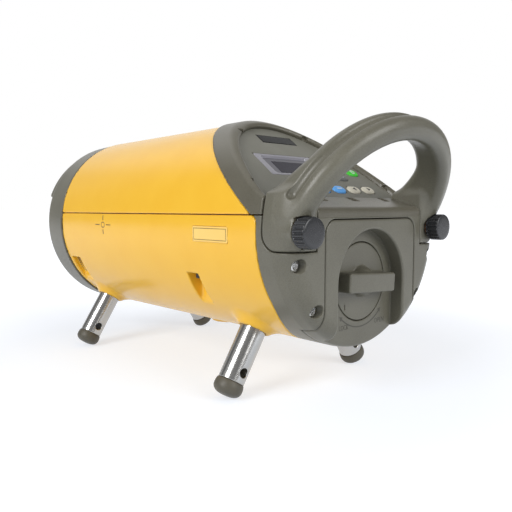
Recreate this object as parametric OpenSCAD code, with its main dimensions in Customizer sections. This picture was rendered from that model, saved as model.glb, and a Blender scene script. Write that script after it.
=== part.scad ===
// Pipe laser: a sealed round instrument on four screw-in legs, with a slanted control panel,
// a carrying handle and a battery drawer at the rear, and a laser on a gimbal at the front.
// +Y is the beam's direction and +Z is up. The origin is on the floor, under the middle.
// The modules are written in the body's own frame, with its axis at x = z = 0 and y = 0 at the
// rear edge of the lower shell, and place() moves each one to the part's frame.

/* [Body] */
// Outer radius of the shells
body_r = 61; // [60:0.5:63]
// Length kept for the laser in front of the battery bay
laser_room = 75.1; // [74.5:0.1:95]
// How far the upper shell is raised above a round section
crown = 1.2; // [1:0.1:1.5]
// Wall of the moulded shells
wall = 3; // [2.6:0.1:3.4]
// Height of the shells' seam above the body's axis
seam_z = 8; // [7.6:0.1:8.6]
// Half of the line left where two shells meet
part_line = 0.2; // [0.15:0.05:0.3]
// Corner radius of the lower shell where its seam meets its rear edge
seam_round = 4.3; // [3:0.1:5]
// Width of the gasket in the seam
gasket_w = 1.6; // [1:0.1:2]
// Angle of the control panel and of the upper shell's rear edge
panel_slope = 36.8; // [34:0.2:40]
// Height of the sight rib on the top
rib_h = 1.4; // [0.8:0.1:2]
// Width of the sight rib
rib_w = 2.4; // [1.6:0.2:4]
// Length of the sight rib
rib_len = 42; // [30:1:60]
// Place of the sight rib's middle along the body
rib_y = 150; // [130:1:160]

/* [Front cap] */
// Length of the front cap
cap_len = 30; // [27:0.5:36]
// How far the front cap stands out of the shells
cap_out = 1; // [0.6:0.1:1.4]
// Draw of the front cap's side towards its rounded edge
cap_draw = 0.8; // [0.4:0.1:1.4]
// Radius of the front cap's rounded edge
cap_round = 8; // [6:0.5:9]
// Thickness of the front wall
cap_wall = 7; // [6.5:0.25:8]
// Distance from the clear window's edge to the body's side
cap_face = 27; // [26:0.5:30]
// Width of the seat that the window rests on
window_seat = 3; // [2.5:0.1:3.5]
// Thickness of the window's glass
glass_t = 2.5; // [2:0.1:3]
// Thickness of the window's flat seal
seal_t = 0.8; // [0.5:0.1:1]
// Thickness of the retaining ring
ring_t = 2.5; // [2:0.1:3]
// Overlap of the retaining ring on the glass
ring_grip = 3.5; // [2.5:0.1:4]
// Flange of the retaining ring outside the glass
ring_flange = 2; // [1.5:0.1:2.5]
// How far the retaining ring stands out
ring_proud = 1; // [0.5:0.1:1.5]
// Wall of the front cap's side
cap_side = 5; // [4:0.25:6]
// Distance from the cap's side to the hood over the window
hood_edge = 2.5; // [2:0.1:3]
// Thickness of the hood
hood_t = 3.6; // [2.4:0.1:4]
// How far the hood stands out
hood_len = 4.5; // [2:0.25:6]
// Half of the hood's sweep
hood_half_angle = 70; // [60:1:74]
// Distance from the circle of front screws to the body's side
front_screw_in = 14; // [13.5:0.25:15]
// Thickness of the front bulkhead
bulkhead_t = 4.5; // [3:0.25:6]
// Width of the front bulkhead
bulkhead_w = 16; // [15.5:0.25:17]

/* [Screws] */
// Radius of a screw's shank
screw_r = 2; // [1.75:0.05:2.1]
// Radius of a screw's head
head_r = 2.9; // [2.7:0.1:3.2]
// Height of a screw's head
head_h = 3; // [2.5:0.1:3.5]
// Radius of the key socket in a head
socket_r = 1.5; // [1.2:0.1:1.7]
// Room round a screw's head
head_clear = 0.6; // [0.4:0.1:0.7]
// Room round a screw's shank in a plain hole
shank_clear = 0.2; // [0.15:0.05:0.3]
// Room left at a thread
thread_clear = 0.04; // [0.03:0.01:0.06]
// Outer radius of a screw boss
screw_boss_r = 4.6; // [4.2:0.1:5]
// Length of thread held in a boss
screw_grip = 13; // [12.5:0.25:14]
// Room left past a screw's end
thread_end = 1; // [0.5:0.1:1.5]
// Depth of a case screw's counterbore
bore_deep = 8; // [7.5:0.1:8.5]

/* [Side recesses] */
// Width of a side recess along the body
slot_w = 10; // [9:0.25:11]
// Height of a side recess's top under the axis
slot_top = 23.8; // [22:0.2:25]
// Depth of a side recess from the body's side
slot_deep = 16; // [15:0.25:17]
// Wall round a side recess
slot_wall = 2; // [1.5:0.1:2.5]
// Place of the rear side recesses along the body
slot_rear_y = 55; // [54:0.5:60]
// Distance from the front side recesses to the shell's front edge
slot_front_in = 13.5; // [13.5:0.25:15]

/* [Label] */
// Length of the plain label plate
label_len = 28.5; // [20:0.5:32]
// Height of the plain label plate
label_h = 8; // [6:0.25:9]
// Place of the label's middle along the body
label_y = 34.5; // [30:0.5:36]
// Height of the label's middle against the axis
label_z = -2; // [-3:0.25:-1]
// Thickness of the label plate
label_t = 0.5; // [0.4:0.05:0.8]

/* [Legs] */
// Angle of the legs from straight down
leg_angle = 32.4; // [31:0.2:34]
// Place of the rear legs along the body
leg_rear_y = 31; // [29:0.5:34]
// Distance from the front legs to the shell's front edge
leg_front_in = 18; // [17.5:0.5:22]
// Radius of a leg's tube
leg_r = 7.25; // [6.8:0.05:7.6]
// Wall of a leg's tube
leg_wall = 1.6; // [1.2:0.1:2]
// Reach of a foot past the body's side
leg_out = 41.9; // [39:0.1:60]
// Radius of a foot's domed end
dome_r = 8.4; // [7.8:0.1:9]
// Length of a rubber foot above its dome
foot_len = 5; // [4:0.5:9]
// Length of the plug that holds a foot in its tube
plug_len = 11; // [10:0.5:14]
// Radius of the cross hole for a tommy bar
bar_hole_r = 2.5; // [2:0.1:2.6]
// Distance from a foot's edge to its leg's cross hole
bar_hole_up = 6; // [5:0.5:8]
// Outer radius of a leg's socket
socket_or = 11; // [10.5:0.25:11.5]
// Depth of a leg's socket from the body's side
socket_deep = 11; // [10:0.25:11.5]
// How far a socket's collar stands out of the shell
collar_out = 3.2; // [2:0.2:5]
// Radius of a collar at its outer end
collar_r = 8.9; // [8.4:0.1:9.4]
// Radius of a collar at the shell
collar_foot_r = 12.5; // [11.5:0.25:13]
// Thickness of a socket's closed end
socket_end = 2; // [1.5:0.25:2.5]
// Running room between a leg and its socket
leg_clear = 0.1; // [0.06:0.01:0.15]
// Room between a leg's end and its socket's end
leg_end_clear = 0.4; // [0.3:0.05:0.6]

/* [Underside mount] */
// Radius of the underside screw thread
mount_r = 7.94; // [6.35:0.01:7.94]
// Wall of the underside insert
mount_wall = 1.6; // [1.4:0.1:2]
// Depth of the underside insert
mount_depth = 13; // [10:0.5:14]
// How far the underside pad stands out
mount_out = 0.8; // [0.6:0.1:2]
// Place of the underside mount along the body
mount_y = 92; // [84:1:110]

/* [Rear housing] */
// Length of the rear housing
rear_len = 22; // [21:0.25:23]
// Draw of the rear housing's side at the rear face
rear_draw = 1.5; // [1:0.1:2.2]
// Length over which the rear housing draws in
rear_taper = 12; // [10:0.5:13]
// Radius of the rear edge
rear_round = 3; // [2:0.1:3.5]
// Room round the battery bay in the housing's inner opening
bore_room = 1.3; // [1:0.1:1.6]
// Step of the housing's inner opening inside the shells
rear_rim = 1; // [0.8:0.1:1.5]
// Height of the upright band above the door
band_top = 12; // [11.5:0.25:12.5]
// Place of the sloping band's break along the body
band_break_y = -16.5; // [-17.5:0.25:-15.5]
// Height of the sloping band's break
band_break_z = 14.6; // [14.3:0.1:14.9]
// Place of the panel's lower crest along the body
crest_y = -3; // [-4:0.25:-2]
// Height of the panel's lower crest
crest_z = 16.5; // [16:0.25:17.5]
// Distance of the rear screws from the body's side
rear_screw_in = 5.3; // [5:0.1:5.6]
// Angle of the upper rear screws under the horizontal
rear_screw_upper = 15.5; // [15:0.25:17]
// Angle of the lower rear screws under the horizontal
rear_screw_lower = 41.5; // [40:0.25:41.75]
// Height under the axis where the housing's front edge turns forward
chin_low = 42; // [41.8:0.1:44]
// How far the housing reaches forward under the body
chin_len = 12; // [8:0.25:14]

/* [Control panel] */
// Depth of the panel under its bezel
panel_deep = 3; // [2.6:0.1:3.4]
// Width of the bezel round the panel
panel_rim = 5; // [4.5:0.1:5.5]
// How far the bezel is raised above a round section
bezel_up = 2.4; // [2:0.1:2.8]
// Distance from the lower crest to the panel's straight edge
panel_low = 2; // [1.6:0.1:3]
// Thickness of the panel plate
plate_t = 2.5; // [2.2:0.1:3]
// Room round the panel plate
plate_clear = 0.15; // [0.1:0.05:0.25]
// Width of the ledge that the panel plate rests on
ledge_w = 2.2; // [2:0.1:2.4]
// Thickness of the ledge
ledge_t = 3; // [2.5:0.1:3.5]
// Width of the display window
lcd_w = 45; // [40:0.5:46]
// Height of the display window up the slope
lcd_h = 20; // [18:0.25:21]
// Place of the display window's middle across the panel
lcd_u = -9.5; // [-11:0.25:-9]
// Place of the display window's middle up the slope
lcd_v = 34; // [33:0.25:35]
// Width of the remote sensor's window
sensor_w = 28; // [24:0.5:30]
// Height of the remote sensor's window up the slope
sensor_h = 8; // [6:0.25:9]
// Place of the remote sensor's window up the slope
sensor_v = 61; // [59:0.5:62]
// Depth of the window pockets in the plate
pane_t = 1.2; // [0.8:0.1:1.5]
// Lip under a window pocket
pane_lip = 2; // [1.5:0.1:2.5]
// Distance between keys in the row
key_pitch = 13.2; // [12:0.1:13.4]
// Number of keys in the row
key_count = 6; // [4:1:6]
// Place of the key row's middle across the panel
key_row_u = 2.2; // [0:0.1:3]
// Place of the key row up the slope
key_row_v = 11.6; // [11:0.1:12.5]
// Half length of an oval key
key_hl = 5; // [4:0.1:5.4]
// Half height of an oval key
key_hh = 3.2; // [2.6:0.1:3.4]
// Distance of the power key from the panel's round edge, across
power_in = 18; // [17.6:0.1:19]
// Place of the power key up the slope
power_key_v = 29.5; // [28:0.25:30]
// Place of the arrow key across the panel
arrow_key_u = 22.5; // [21.5:0.25:23]
// Place of the arrow key up the slope
arrow_key_v = 24; // [23:0.25:28]
// How far a key stands above the plate
key_proud = 1; // [0.9:0.05:1.4]
// Travel of a key
key_travel = 0.7; // [0.4:0.05:0.8]
// Room round a key
key_clear = 0.35; // [0.3:0.05:0.5]
// Edge of a key's flange
key_flange = 0.9; // [0.7:0.05:1]
// Thickness of a key's flange
key_flange_t = 1.2; // [0.8:0.1:1.5]
// Thickness of a circuit board
board_t = 1.6; // [1.2:0.2:2]
// Radius of a board post
post_r = 2.2; // [1.8:0.1:2.6]
// Distance of the keypad board's lower posts from the middle
post_low_u = 38; // [34:0.5:39]
// Place of the keypad board's lower posts up the slope
post_low_v = 19.5; // [19:0.25:20]
// Distance of the keypad board's upper posts from the middle
post_high_u = 22; // [18:0.5:24]
// Place of the keypad board's upper posts up the slope
post_high_v = 51; // [49:0.25:52]

/* [Battery drawer] */
// Overlap of the door past the battery bay, each side
door_lap = 0.3; // [0.2:0.05:0.4]
// Height of the door's top edge above the axis
door_top = 5.5; // [5.3:0.1:5.8]
// Radius of the door's upper corners
door_round = 7; // [5:0.25:8]
// Depth under the axis where the door widens to the full body
shoulder_z = 49.5; // [49:0.25:50]
// Radius of the shoulders' lower corners
shoulder_round = 4; // [3:0.25:5]
// Gap round the door
door_gap = 0.5; // [0.4:0.05:0.7]
// Thickness of the door
door_t = 14; // [13.5:0.25:14.5]
// Thickness of the door's gasket
door_gasket_t = 0.9; // [0.7:0.05:1]
// Radius of a battery cell
cell_r = 16.4; // [16:0.1:16.5]
// Length of a battery cell
cell_len = 61.5; // [60:0.25:62]
// Radius of a cell's cap
cell_cap_r = 5.5; // [4:0.25:6]
// Height of a cell's cap
cell_cap = 1.5; // [1:0.1:2]
// Depth of the cells' axes under the body's axis
cell_low = 15; // [14.8:0.1:15.2]
// Room between cells and tray
cell_clear = 0.25; // [0.2:0.05:0.3]
// Wall of the tray
tray_wall = 1.2; // [1:0.1:1.3]
// Depth of the tray's sides under the body's axis
tray_rim_low = 5; // [2:0.5:10]
// Distance from the door to the tray
tray_in = 12; // [11.5:0.25:13]
// Thickness of the tray's end walls
tray_end = 1.6; // [1.2:0.1:2]
// Width of an arm between door and tray
arm_w = 6; // [4:0.5:7]
// Running room round the tray
bay_clear = 0.4; // [0.35:0.05:0.5]
// Wall of the battery bay
bay_wall = 1.8; // [1.6:0.1:1.9]
// Room over the cells
bay_head = 0.8; // [0.5:0.1:1]
// Half width of the bay's lock well
well_hw = 17; // [16.5:0.25:18]
// Depth of the lock well's floor under the axis
well_low = 43; // [42.5:0.25:44]
// Length of the lock well
well_len = 19; // [17:0.5:20]
// Radius of a battery contact
contact_r = 4.5; // [3:0.25:5]
// Room round a contact in the tray's end
contact_room = 1; // [0.5:0.1:1.5]

/* [Lock knob] */
// Depth of the knob's axis under the body's axis
knob_low = 26.7; // [26:0.1:27.5]
// Radius of the knob's disc
knob_r = 20.2; // [19:0.1:20.5]
// Thickness of the knob's disc
knob_t = 2.4; // [2:0.1:2.6]
// Radius of the pocket round the knob
pocket_r = 27; // [26:0.25:28]
// Depth of the pocket
pocket_deep = 8; // [7.5:0.1:8.5]
// Half length of the knob's bar
bar_hl = 19; // [17:0.25:20]
// Height of the knob's bar
bar_h = 10; // [8:0.25:11]
// How far the bar stands past the door's face
bar_out = 0.4; // [0:0.1:1]
// Radius of the knob's hub
hub_r = 8; // [6:0.25:9]
// Angle of the bar when locked
bar_tilt = 3.6; // [0:0.2:6]
// Radius of the lock's shaft
lock_shaft_r = 4; // [3:0.1:5]
// Running room round the knob and its shaft
knob_clear = 0.4; // [0.3:0.05:0.5]
// Half length of the lock's cam
cam_hl = 13; // [11:0.25:14]
// Height of the lock's cam
cam_h = 8; // [6:0.25:9]
// Thickness of the lock's cam
cam_t = 4; // [3:0.25:5]

/* [Handle] */
// Lean of the handle to the rear
handle_lean = 31; // [28:0.5:33]
// Distance from the body's side to the middle of the handle's foot
handle_in = 9.5; // [9:0.1:10]
// How much lower the arch is than a half circle
arch_drop = 3.2; // [2:0.1:5]
// Half of the sweep of the arch's flatter top
arch_turn = 45; // [35:1:55]
// Thickness of the handle's section
handle_t = 11.4; // [10.8:0.1:12.4]
// Width of the handle's section
handle_w = 18; // [16:0.25:19]
// Corner radius of the handle's section
handle_round = 5; // [4:0.1:5.4]
// Turn of the section in the arch
handle_twist = 14; // [0:1:20]
// Place of the arch's middle along the body
arch_y = -15.3; // [-16:0.1:-14.5]
// Height of the arch's middle above the axis
arch_z = 7.8; // [7:0.1:8.5]
// Radius of the groove in the handle's outer face
groove_r = 3; // [2:0.1:3.5]
// Half of the groove's sweep
groove_half_angle = 80; // [60:1:84]
// Height of the web in front of the handle's foot, along the handle
web_up = 26; // [20:0.5:30]
// Setback of the web from the handle's faces
web_in = 1.2; // [0.8:0.1:2]
// Width of a pad from the body's side
pad_w = 18; // [17.5:0.1:18.4]
// Place of a pad's front edge along the body
pad_front = -4; // [-5:0.25:-3.5]
// Depth of a pad's lower edge under the axis
pad_low = 8.5; // [8:0.25:8.8]
// Height of a pad's top above the axis
pad_top = 18.5; // [17.5:0.25:19]
// Radius of a pad's lower corner
pad_round = 8; // [6:0.25:9]
// Radius of a pad's rear edge
pad_edge = 8; // [6:0.25:9]
// Gap round a pad
pad_gap = 0.4; // [0.35:0.05:0.5]
// Distance of a thumb screw from the body's side
thumb_in = 7.1; // [6.9:0.1:7.4]
// Height of a thumb screw above the axis
thumb_z = 0.3; // [0:0.1:1]
// Depth of a thumb screw's seat under the rear face
thumb_seat = 0.4; // [0.2:0.05:0.8]
// Radius of a thumb screw's knob
thumb_r = 6.8; // [6:0.1:7]
// Length of a thumb screw's knob
thumb_len = 7.8; // [6:0.1:9]
// Radius of a thumb screw's shank
thumb_shank_r = 2.5; // [2:0.1:3]
// Length of a thumb screw's shank in the housing
thumb_grip = 10; // [8:0.5:12]
// Running room round a thumb screw's shank
thumb_clear = 0.3; // [0.25:0.05:0.4]
// Radius of the boss under a thumb screw
thumb_boss_r = 6.2; // [5.5:0.1:6.4]
// Radius of that boss at its front end
boss_tip_r = 3.6; // [3.3:0.1:5]
// Length of that boss
boss_len = 13; // [10:0.5:15]
// Radius of a thumb screw's washer
washer_r = 5.2; // [4.5:0.1:5.4]
// Thickness of a thumb screw's washer
washer_t = 0.7; // [0.5:0.1:1]
// Room between a washer and its knob
washer_clear = 0.2; // [0.15:0.05:0.3]

/* [Laser and gimbal] */
// Distance from the gimbal's centre to the shell's front edge
pivot_in = 28; // [27:0.5:30]
// Radius of the laser barrel
barrel_r = 14; // [12:0.25:14.5]
// Wall of the laser barrel
barrel_wall = 3; // [2.5:0.1:3.5]
// Length of the barrel in front of the pivot
barrel_front = 34; // [30:0.5:35]
// Length of the barrel behind the pivot
barrel_rear = 40; // [38:0.5:41]
// Inner radius of the line frame
line_in_r = 27; // [26:0.25:27.5]
// Outer radius of the line frame
line_out_r = 32; // [31.5:0.25:32.5]
// Half width of the line frame
line_hw = 6; // [5:0.25:7]
// Inner radius of the gimbal base
base_in_r = 36; // [35.5:0.25:36.5]
// Outer radius of the gimbal base
base_out_r = 41; // [40.5:0.25:41.5]
// Half width of the gimbal base
base_hw = 8; // [7:0.25:8.5]
// Half width of the gimbal base's foot
base_foot_hw = 10; // [8:0.5:12]
// Room between inner pieces and the shell's wall
shell_clear = 0.2; // [0.15:0.05:0.4]
// Radius of a pivot pin
pin_r = 2; // [1.6:0.1:2.4]
// Running room round a pivot pin
pin_clear = 0.05; // [0.03:0.01:0.08]
// Radius of an actuator's plunger
plunger_r = 2.5; // [2:0.1:3]
// Distance from the pivot back to the grade actuator
grade_arm = 34; // [32:0.5:35]
// Half width of an actuator
actuator_hw = 8; // [7:0.25:8.5]
// Height of the grade actuator above the shell's floor
grade_case = 27; // [26:0.25:27.5]
// Length of the grade plunger inside its actuator
grade_hold = 10.6; // [9.6:0.1:11]
// Room between the grade plunger and the barrel
grade_gap = 1.1; // [1:0.05:1.2]
// Depth of the grade actuator's bore
grade_bore = 26; // [25.5:0.25:26.2]
// Distance from the pivot back to the line actuator
line_arm = 28; // [26:0.5:29]
// Thickness of the line frame's lever
lever_t = 4; // [3:0.25:4.5]
// Half height of the line frame's lever
lever_hh = 4; // [3:0.25:5]
// Depth of the line actuator from the shell's wall
line_case = 18; // [17:0.25:18.5]
// Length of the line plunger inside its actuator
line_hold = 9.6; // [8.2:0.1:10]
// Room between the line plunger and its lever
line_gap = 1.1; // [1:0.05:1.3]
// Depth of the line actuator's bore
line_bore = 15; // [14.5:0.25:15.5]
// Thickness of the collimator lens
lens_t = 4; // [3:0.25:5]
// Setback of the lens from the barrel's end
lens_in = 4; // [2:0.25:6]
// Radius of the diode's can
diode_r = 8; // [6:0.25:9]
// Length of the diode's can
diode_len = 8; // [6:0.25:9]
// Thickness of the diode's flange
diode_flange_t = 2; // [1.5:0.25:3]
// Length of the level sensor on the barrel
level_len = 18; // [14:0.5:20]
// Half width of the level sensor
level_hw = 4; // [3:0.25:5]
// Height of the level sensor over the barrel
level_h = 6; // [4:0.25:7]
// Distance from the barrel's rear end to the level sensor
level_in = 6; // [4:0.5:8]

/* [Main board] */
// Distance from the main board's front end to the battery bay's end
main_end = 9.1; // [5:0.1:30]
// Half width of the main board
main_hw = 35; // [30:0.5:36]
// Height of the main board's posts
main_post = 8; // [6:0.25:9]
// Place of the main board's rear end along the body
main_y = 34; // [33:0.5:38]

/* [Hidden] */
$fn = 64;
slope_t = tan(panel_slope);
inner_r = body_r - wall;
far = 4 * body_r;
cut = 1;
door_in_y = -rear_len + door_t;
pocket_y = -rear_len + pocket_deep;
tray_hw = 2 * cell_r + 2 * cell_clear + tray_wall;
tray_y = door_in_y + tray_in;
cells_y = tray_y + tray_end + cell_clear;
tray_end_y = cells_y + 2 * cell_len + cell_clear;
tray_floor = -cell_low - cell_r - cell_clear;
bay_hw = tray_hw + bay_clear;
bay_floor = tray_floor - tray_wall - bay_clear;
bay_top = -cell_low + cell_r + bay_head;
bay_y = door_in_y + door_gasket_t + bay_clear;
bay_end_y = tray_end_y + tray_end + bay_clear;
bay_roof = bay_top + bay_wall;
door_hw = bay_hw + bay_wall + door_lap;
rear_bore_hw = bay_hw + bay_wall + bore_room;
rear_bore_low = well_low + bay_wall + bore_room;
shell_len = bay_end_y + bay_wall + laser_room;
main_len = bay_end_y - main_y - main_end;
front_y = shell_len + cap_len;
cap_r = body_r + cap_out;
cap_front_r = cap_r - cap_draw;
window_r = body_r - cap_face;
ring_y = front_y - ring_t + ring_proud;
seat_y = ring_y - glass_t - seal_t;
ring_or = window_r + window_seat + ring_flange;
hood_out_r = cap_front_r - hood_edge;
front_screw_pcd_r = body_r - front_screw_in;
FRONT_SCREW_ANGLES = [0, 180, 240, 300];
front_screw_len = cap_len - bore_deep + bulkhead_t - thread_end;
rear_screw_len = rear_len - bore_deep + screw_grip - thread_end;
leg_front_y = shell_len - leg_front_in;
LEG_SPOTS = [[-1, leg_rear_y], [1, leg_rear_y], [-1, leg_front_y], [1, leg_front_y]];
socket_in = body_r - socket_deep;
foot_reach = body_r + leg_out;
dome_at = foot_reach - dome_r;
foot_edge = dome_at + sqrt(pow(dome_r, 2) - pow(leg_r, 2)) - foot_len;
axis_h = dome_at * cos(leg_angle) + dome_r;
slot_floor_x = body_r - slot_deep;
slot_front_y = shell_len - slot_front_in;
SLOT_SPOTS = [for (sx = [-1, 1], y = [slot_rear_y, slot_front_y]) [sx, y]];
slot_screw_x = (slot_floor_x + sqrt(pow(body_r, 2) - pow(slot_top, 2))) / 2;
rear_face_r = body_r - rear_draw;
rear_screw_r = body_r - rear_screw_in;
REAR_SCREWS = [for (sx = [-1, 1], a = [rear_screw_upper, rear_screw_lower])
    [sx * rear_screw_r * cos(a), -rear_screw_r * sin(a)]];
chin_far = (far - chin_low) * chin_len / (body_r - chin_low);
pivot_y = shell_len - pivot_in;
handle_r = body_r - handle_in;
arch_step = arch_drop / (sin(arch_turn) + cos(arch_turn) - 1);
arch_side = arch_step * sin(arch_turn);
arch_fall = arch_step * cos(arch_turn);
corner_r = handle_r - arch_side;
top_r = corner_r + arch_step;
section_a = handle_t / 2 - handle_round;
section_b = handle_w / 2 - handle_round;
section_out = handle_r - arch_drop + section_a * cos(handle_twist) + section_b * sin(handle_twist);
section_back = section_b * cos(handle_twist) - section_a * sin(handle_twist);
rear_y = arch_y - section_out * sin(handle_lean) - section_back * cos(handle_lean) - handle_round;
mid_y = (front_y + hood_len + rear_y) / 2;
web_y = arch_y - web_up * sin(handle_lean) + handle_w / 2 * cos(handle_lean);
web_z = arch_z + web_up * cos(handle_lean) + handle_w / 2 * sin(handle_lean);
pad_in = body_r - pad_w;
thumb_x = body_r - thumb_in;
thumb_face_y = -rear_len + thumb_seat;
panel_r = body_r - panel_rim;
power_key_u = panel_r - power_in;
key_top = -panel_deep + key_proud;
plate_back = -panel_deep - plate_t;
key_low = plate_back - key_flange_t - key_clear;
pad_board_top = key_low - key_travel - key_clear;
line_face_x = inner_r - line_case;
grade_top = inner_r - grade_case;
grade_tip = -barrel_r - grade_gap;
line_tip = line_out_r + line_gap;
grade_plunger_len = grade_top + grade_tip + grade_hold;
line_plunger_len = line_face_x - line_tip + line_hold;
ROW_KEYS = [for (i = [1:key_count]) [key_row_u + (i - (key_count + 1) / 2) * key_pitch, key_row_v]];
POWER_KEY = [power_key_u, power_key_v];
ARROW_KEY = [arrow_key_u, arrow_key_v];
KEY_SPOTS = concat(ROW_KEYS, [POWER_KEY, ARROW_KEY]);
BOARD_POSTS = [for (sx = [-1, 1], p = [[post_low_u, post_low_v], [post_high_u, post_high_v]])
    [sx * p[0], p[1]]];
KEY_COLOURS = ["gainsboro", "gainsboro", "cornflowerblue", "cornflowerblue", "gainsboro", "gainsboro"];

// Frames and sections

module place() {
    translate([0, -mid_y, axis_h]) children();
}

// A flat shape in x and z, drawn out along the body from y0 to y1
module slab_y(y0, y1) {
    translate([0, y1, 0]) rotate([90, 0, 0]) linear_extrude(y1 - y0) children();
}

// A flat shape in y and z, drawn out across the body from x0 to x1
module slab_x(x0, x1) {
    translate([x0, 0, 0]) rotate([90, 0, 90]) linear_extrude(x1 - x0) children();
}

// A flat shape in radius and y, turned round the body's axis
module lathe() {
    rotate([-90, 0, 0]) rotate_extrude() children();
}

module rod_y(r, y0, y1) {
    translate([0, y0, 0]) rotate([-90, 0, 0]) cylinder(r = r, h = y1 - y0);
}

module both_sides() {
    children();
    mirror([1, 0, 0]) children();
}

module span(x0, y0, x1, y1) {
    translate([x0, y0]) square([x1 - x0, y1 - y0]);
}

module oval(hl, hh) {
    span(hh - hl, -hh, hl - hh, hh);
    for (sx = [-1, 1]) translate([sx * (hl - hh), 0]) circle(hh);
}

// The panel's frame: x across, y up the slope, z out of the panel, zero on the bezel's crest
module on_panel() {
    translate([0, crest_y, crest_z]) rotate([panel_slope, 0, 0]) children();
}

// A leg's frame: z points out along the leg from the body's axis
module on_leg(spot) {
    translate([0, spot[1], 0]) rotate([0, 180 - spot[0] * leg_angle, 0]) children();
}

// The handle's frame: the arch lies in x and y, and z points to the front
module on_handle() {
    translate([0, arch_y, arch_z]) rotate([handle_lean - 90, 0, 0]) children();
}

module cap_screw(length) {
    difference() {
        union() {
            cylinder(r = head_r, h = head_h);
            translate([0, 0, head_h]) cylinder(r = screw_r, h = length);
        }
        translate([0, 0, -cut]) cylinder(r = socket_r, h = cut + head_h / 2, $fn = 6);
    }
}

// Shells

module upper_side() {
    polygon([[seam_round + part_line, seam_z + part_line], [shell_len, seam_z + part_line],
             [shell_len, far], [seam_round + part_line + (far - seam_z) / slope_t, far]]);
}

// The room under the body that the rear housing reaches into
module chin_side(edge) {
    polygon([[-far, -chin_low], [edge, -chin_low], [edge + chin_far, -far], [-far, -far]]);
}

module lower_side() {
    difference() {
        union() {
            span(seam_round, -far, shell_len, seam_z - part_line);
            span(part_line, -far, shell_len, seam_z - part_line - seam_round);
            translate([seam_round + part_line, seam_z - part_line - seam_round]) circle(seam_round);
        }
        chin_side(part_line);
    }
}

module shell_tube() {
    lathe() span(inner_r, -rear_len, body_r, shell_len);
}

module upper_shell() color("goldenrod") place() {
    difference() {
        union() {
            intersection() {
                translate([0, 0, crown]) shell_tube();
                slab_x(-far, far) upper_side();
            }
            translate([-rib_w / 2, rib_y - rib_len / 2, body_r + crown - wall / 2])
                cube([rib_w, rib_len, wall / 2 + rib_h]);
            intersection() {
                for (s = SLOT_SPOTS) translate([s[0] * slot_screw_x, s[1], seam_z + part_line])
                    cylinder(r = screw_boss_r, h = screw_grip);
                rod_y(body_r - wall / 2, 0, shell_len);
            }
        }
        for (s = SLOT_SPOTS) translate([s[0] * slot_screw_x, s[1], 0])
            cylinder(r = screw_r + thread_clear, h = seam_z + screw_grip);
    }
}

module side_recess(spot, grow, top) {
    translate([spot[0] > 0 ? slot_floor_x - grow : -far, spot[1] - slot_w / 2 - grow, -far - slot_top])
        cube([far - slot_floor_x + grow, slot_w + 2 * grow, far + top]);
}

module lower_shell() color("goldenrod") place() {
    difference() {
        union() {
            intersection() {
                shell_tube();
                slab_x(-far, far) lower_side();
            }
            intersection() {
                union() {
                    for (s = SLOT_SPOTS) {
                        side_recess(s, slot_wall, slot_wall);
                        translate([s[0] * slot_screw_x, s[1], -slot_top])
                            cylinder(r = screw_boss_r, h = slot_top + seam_z - part_line);
                        translate([s[0] > 0 ? slot_screw_x : -body_r, s[1] - slot_wall / 2, -slot_top])
                            cube([body_r - slot_screw_x, slot_wall, slot_top]);
                    }
                    for (p = REAR_SCREWS) translate([p[0], 0, p[1]])
                        rod_y(screw_boss_r, part_line, screw_grip + wall);
                }
                rod_y(body_r - wall / 2, 0, shell_len);
            }
            for (s = LEG_SPOTS) on_leg(s) {
                translate([0, 0, socket_in]) cylinder(r = socket_or, h = body_r - wall / 2 - socket_in);
                translate([0, 0, body_r - wall / 2])
                    cylinder(r1 = collar_foot_r, r2 = collar_r, h = wall / 2 + collar_out);
            }
            translate([0, mount_y, -body_r - mount_out])
                cylinder(r = mount_r + 2 * mount_wall, h = mount_depth + mount_wall);
        }
        for (s = LEG_SPOTS) on_leg(s) translate([0, 0, socket_in + socket_end])
            cylinder(r = leg_r + leg_clear, h = far);
        for (s = SLOT_SPOTS) {
            side_recess(s, 0, 0);
            translate([s[0] * slot_screw_x, s[1], -slot_top - cut])
                cylinder(r = screw_r + shank_clear, h = far);
        }
        for (p = REAR_SCREWS) translate([p[0], 0, p[1]]) rod_y(screw_r + thread_clear, -cut, screw_grip);
        translate([0, mount_y, -body_r - mount_out - cut])
            cylinder(r = mount_r + mount_wall, h = mount_depth + cut);
        label_solid(body_r - label_t - part_line, body_r + cut, part_line);
    }
}

module seam_gasket() color("dimgray") place() both_sides() {
    gasket_x = sqrt(pow(inner_r, 2) - pow(seam_z, 2)) + part_line;
    difference() {
        translate([gasket_x, seam_round + gasket_w, seam_z - part_line])
            cube([gasket_w, shell_len - seam_round - 2 * gasket_w, 2 * part_line]);
        for (s = SLOT_SPOTS) translate([slot_screw_x, s[1], 0])
            cylinder(r = screw_r + shank_clear, h = far);
    }
}

module shell_screws() color("silver") place() {
    for (s = SLOT_SPOTS) translate([s[0] * slot_screw_x, s[1], -slot_top - head_h])
        cap_screw(slot_top + seam_z + screw_grip - thread_end);
}

module label_solid(r0, r1, grow) {
    intersection() {
        lathe() span(r0, label_y - label_len / 2 - grow, r1, label_y + label_len / 2 + grow);
        translate([-far, -far, label_z - label_h / 2 - grow]) cube([far, 2 * far, label_h + 2 * grow]);
    }
}

module label_plate() color("khaki") place() {
    label_solid(body_r - label_t - part_line, body_r - part_line, 0);
}

module mount_insert() color("darkgoldenrod") place() {
    translate([0, mount_y, -body_r - mount_out]) difference() {
        cylinder(r = mount_r + mount_wall - thread_clear, h = mount_depth - part_line);
        translate([0, 0, -cut]) cylinder(r = mount_r, h = mount_depth - mount_wall + cut);
    }
}

// Front cap and window

module front_screw_spots() {
    for (a = FRONT_SCREW_ANGLES)
        translate([front_screw_pcd_r * cos(a), 0, front_screw_pcd_r * sin(a)]) children();
}

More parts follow.
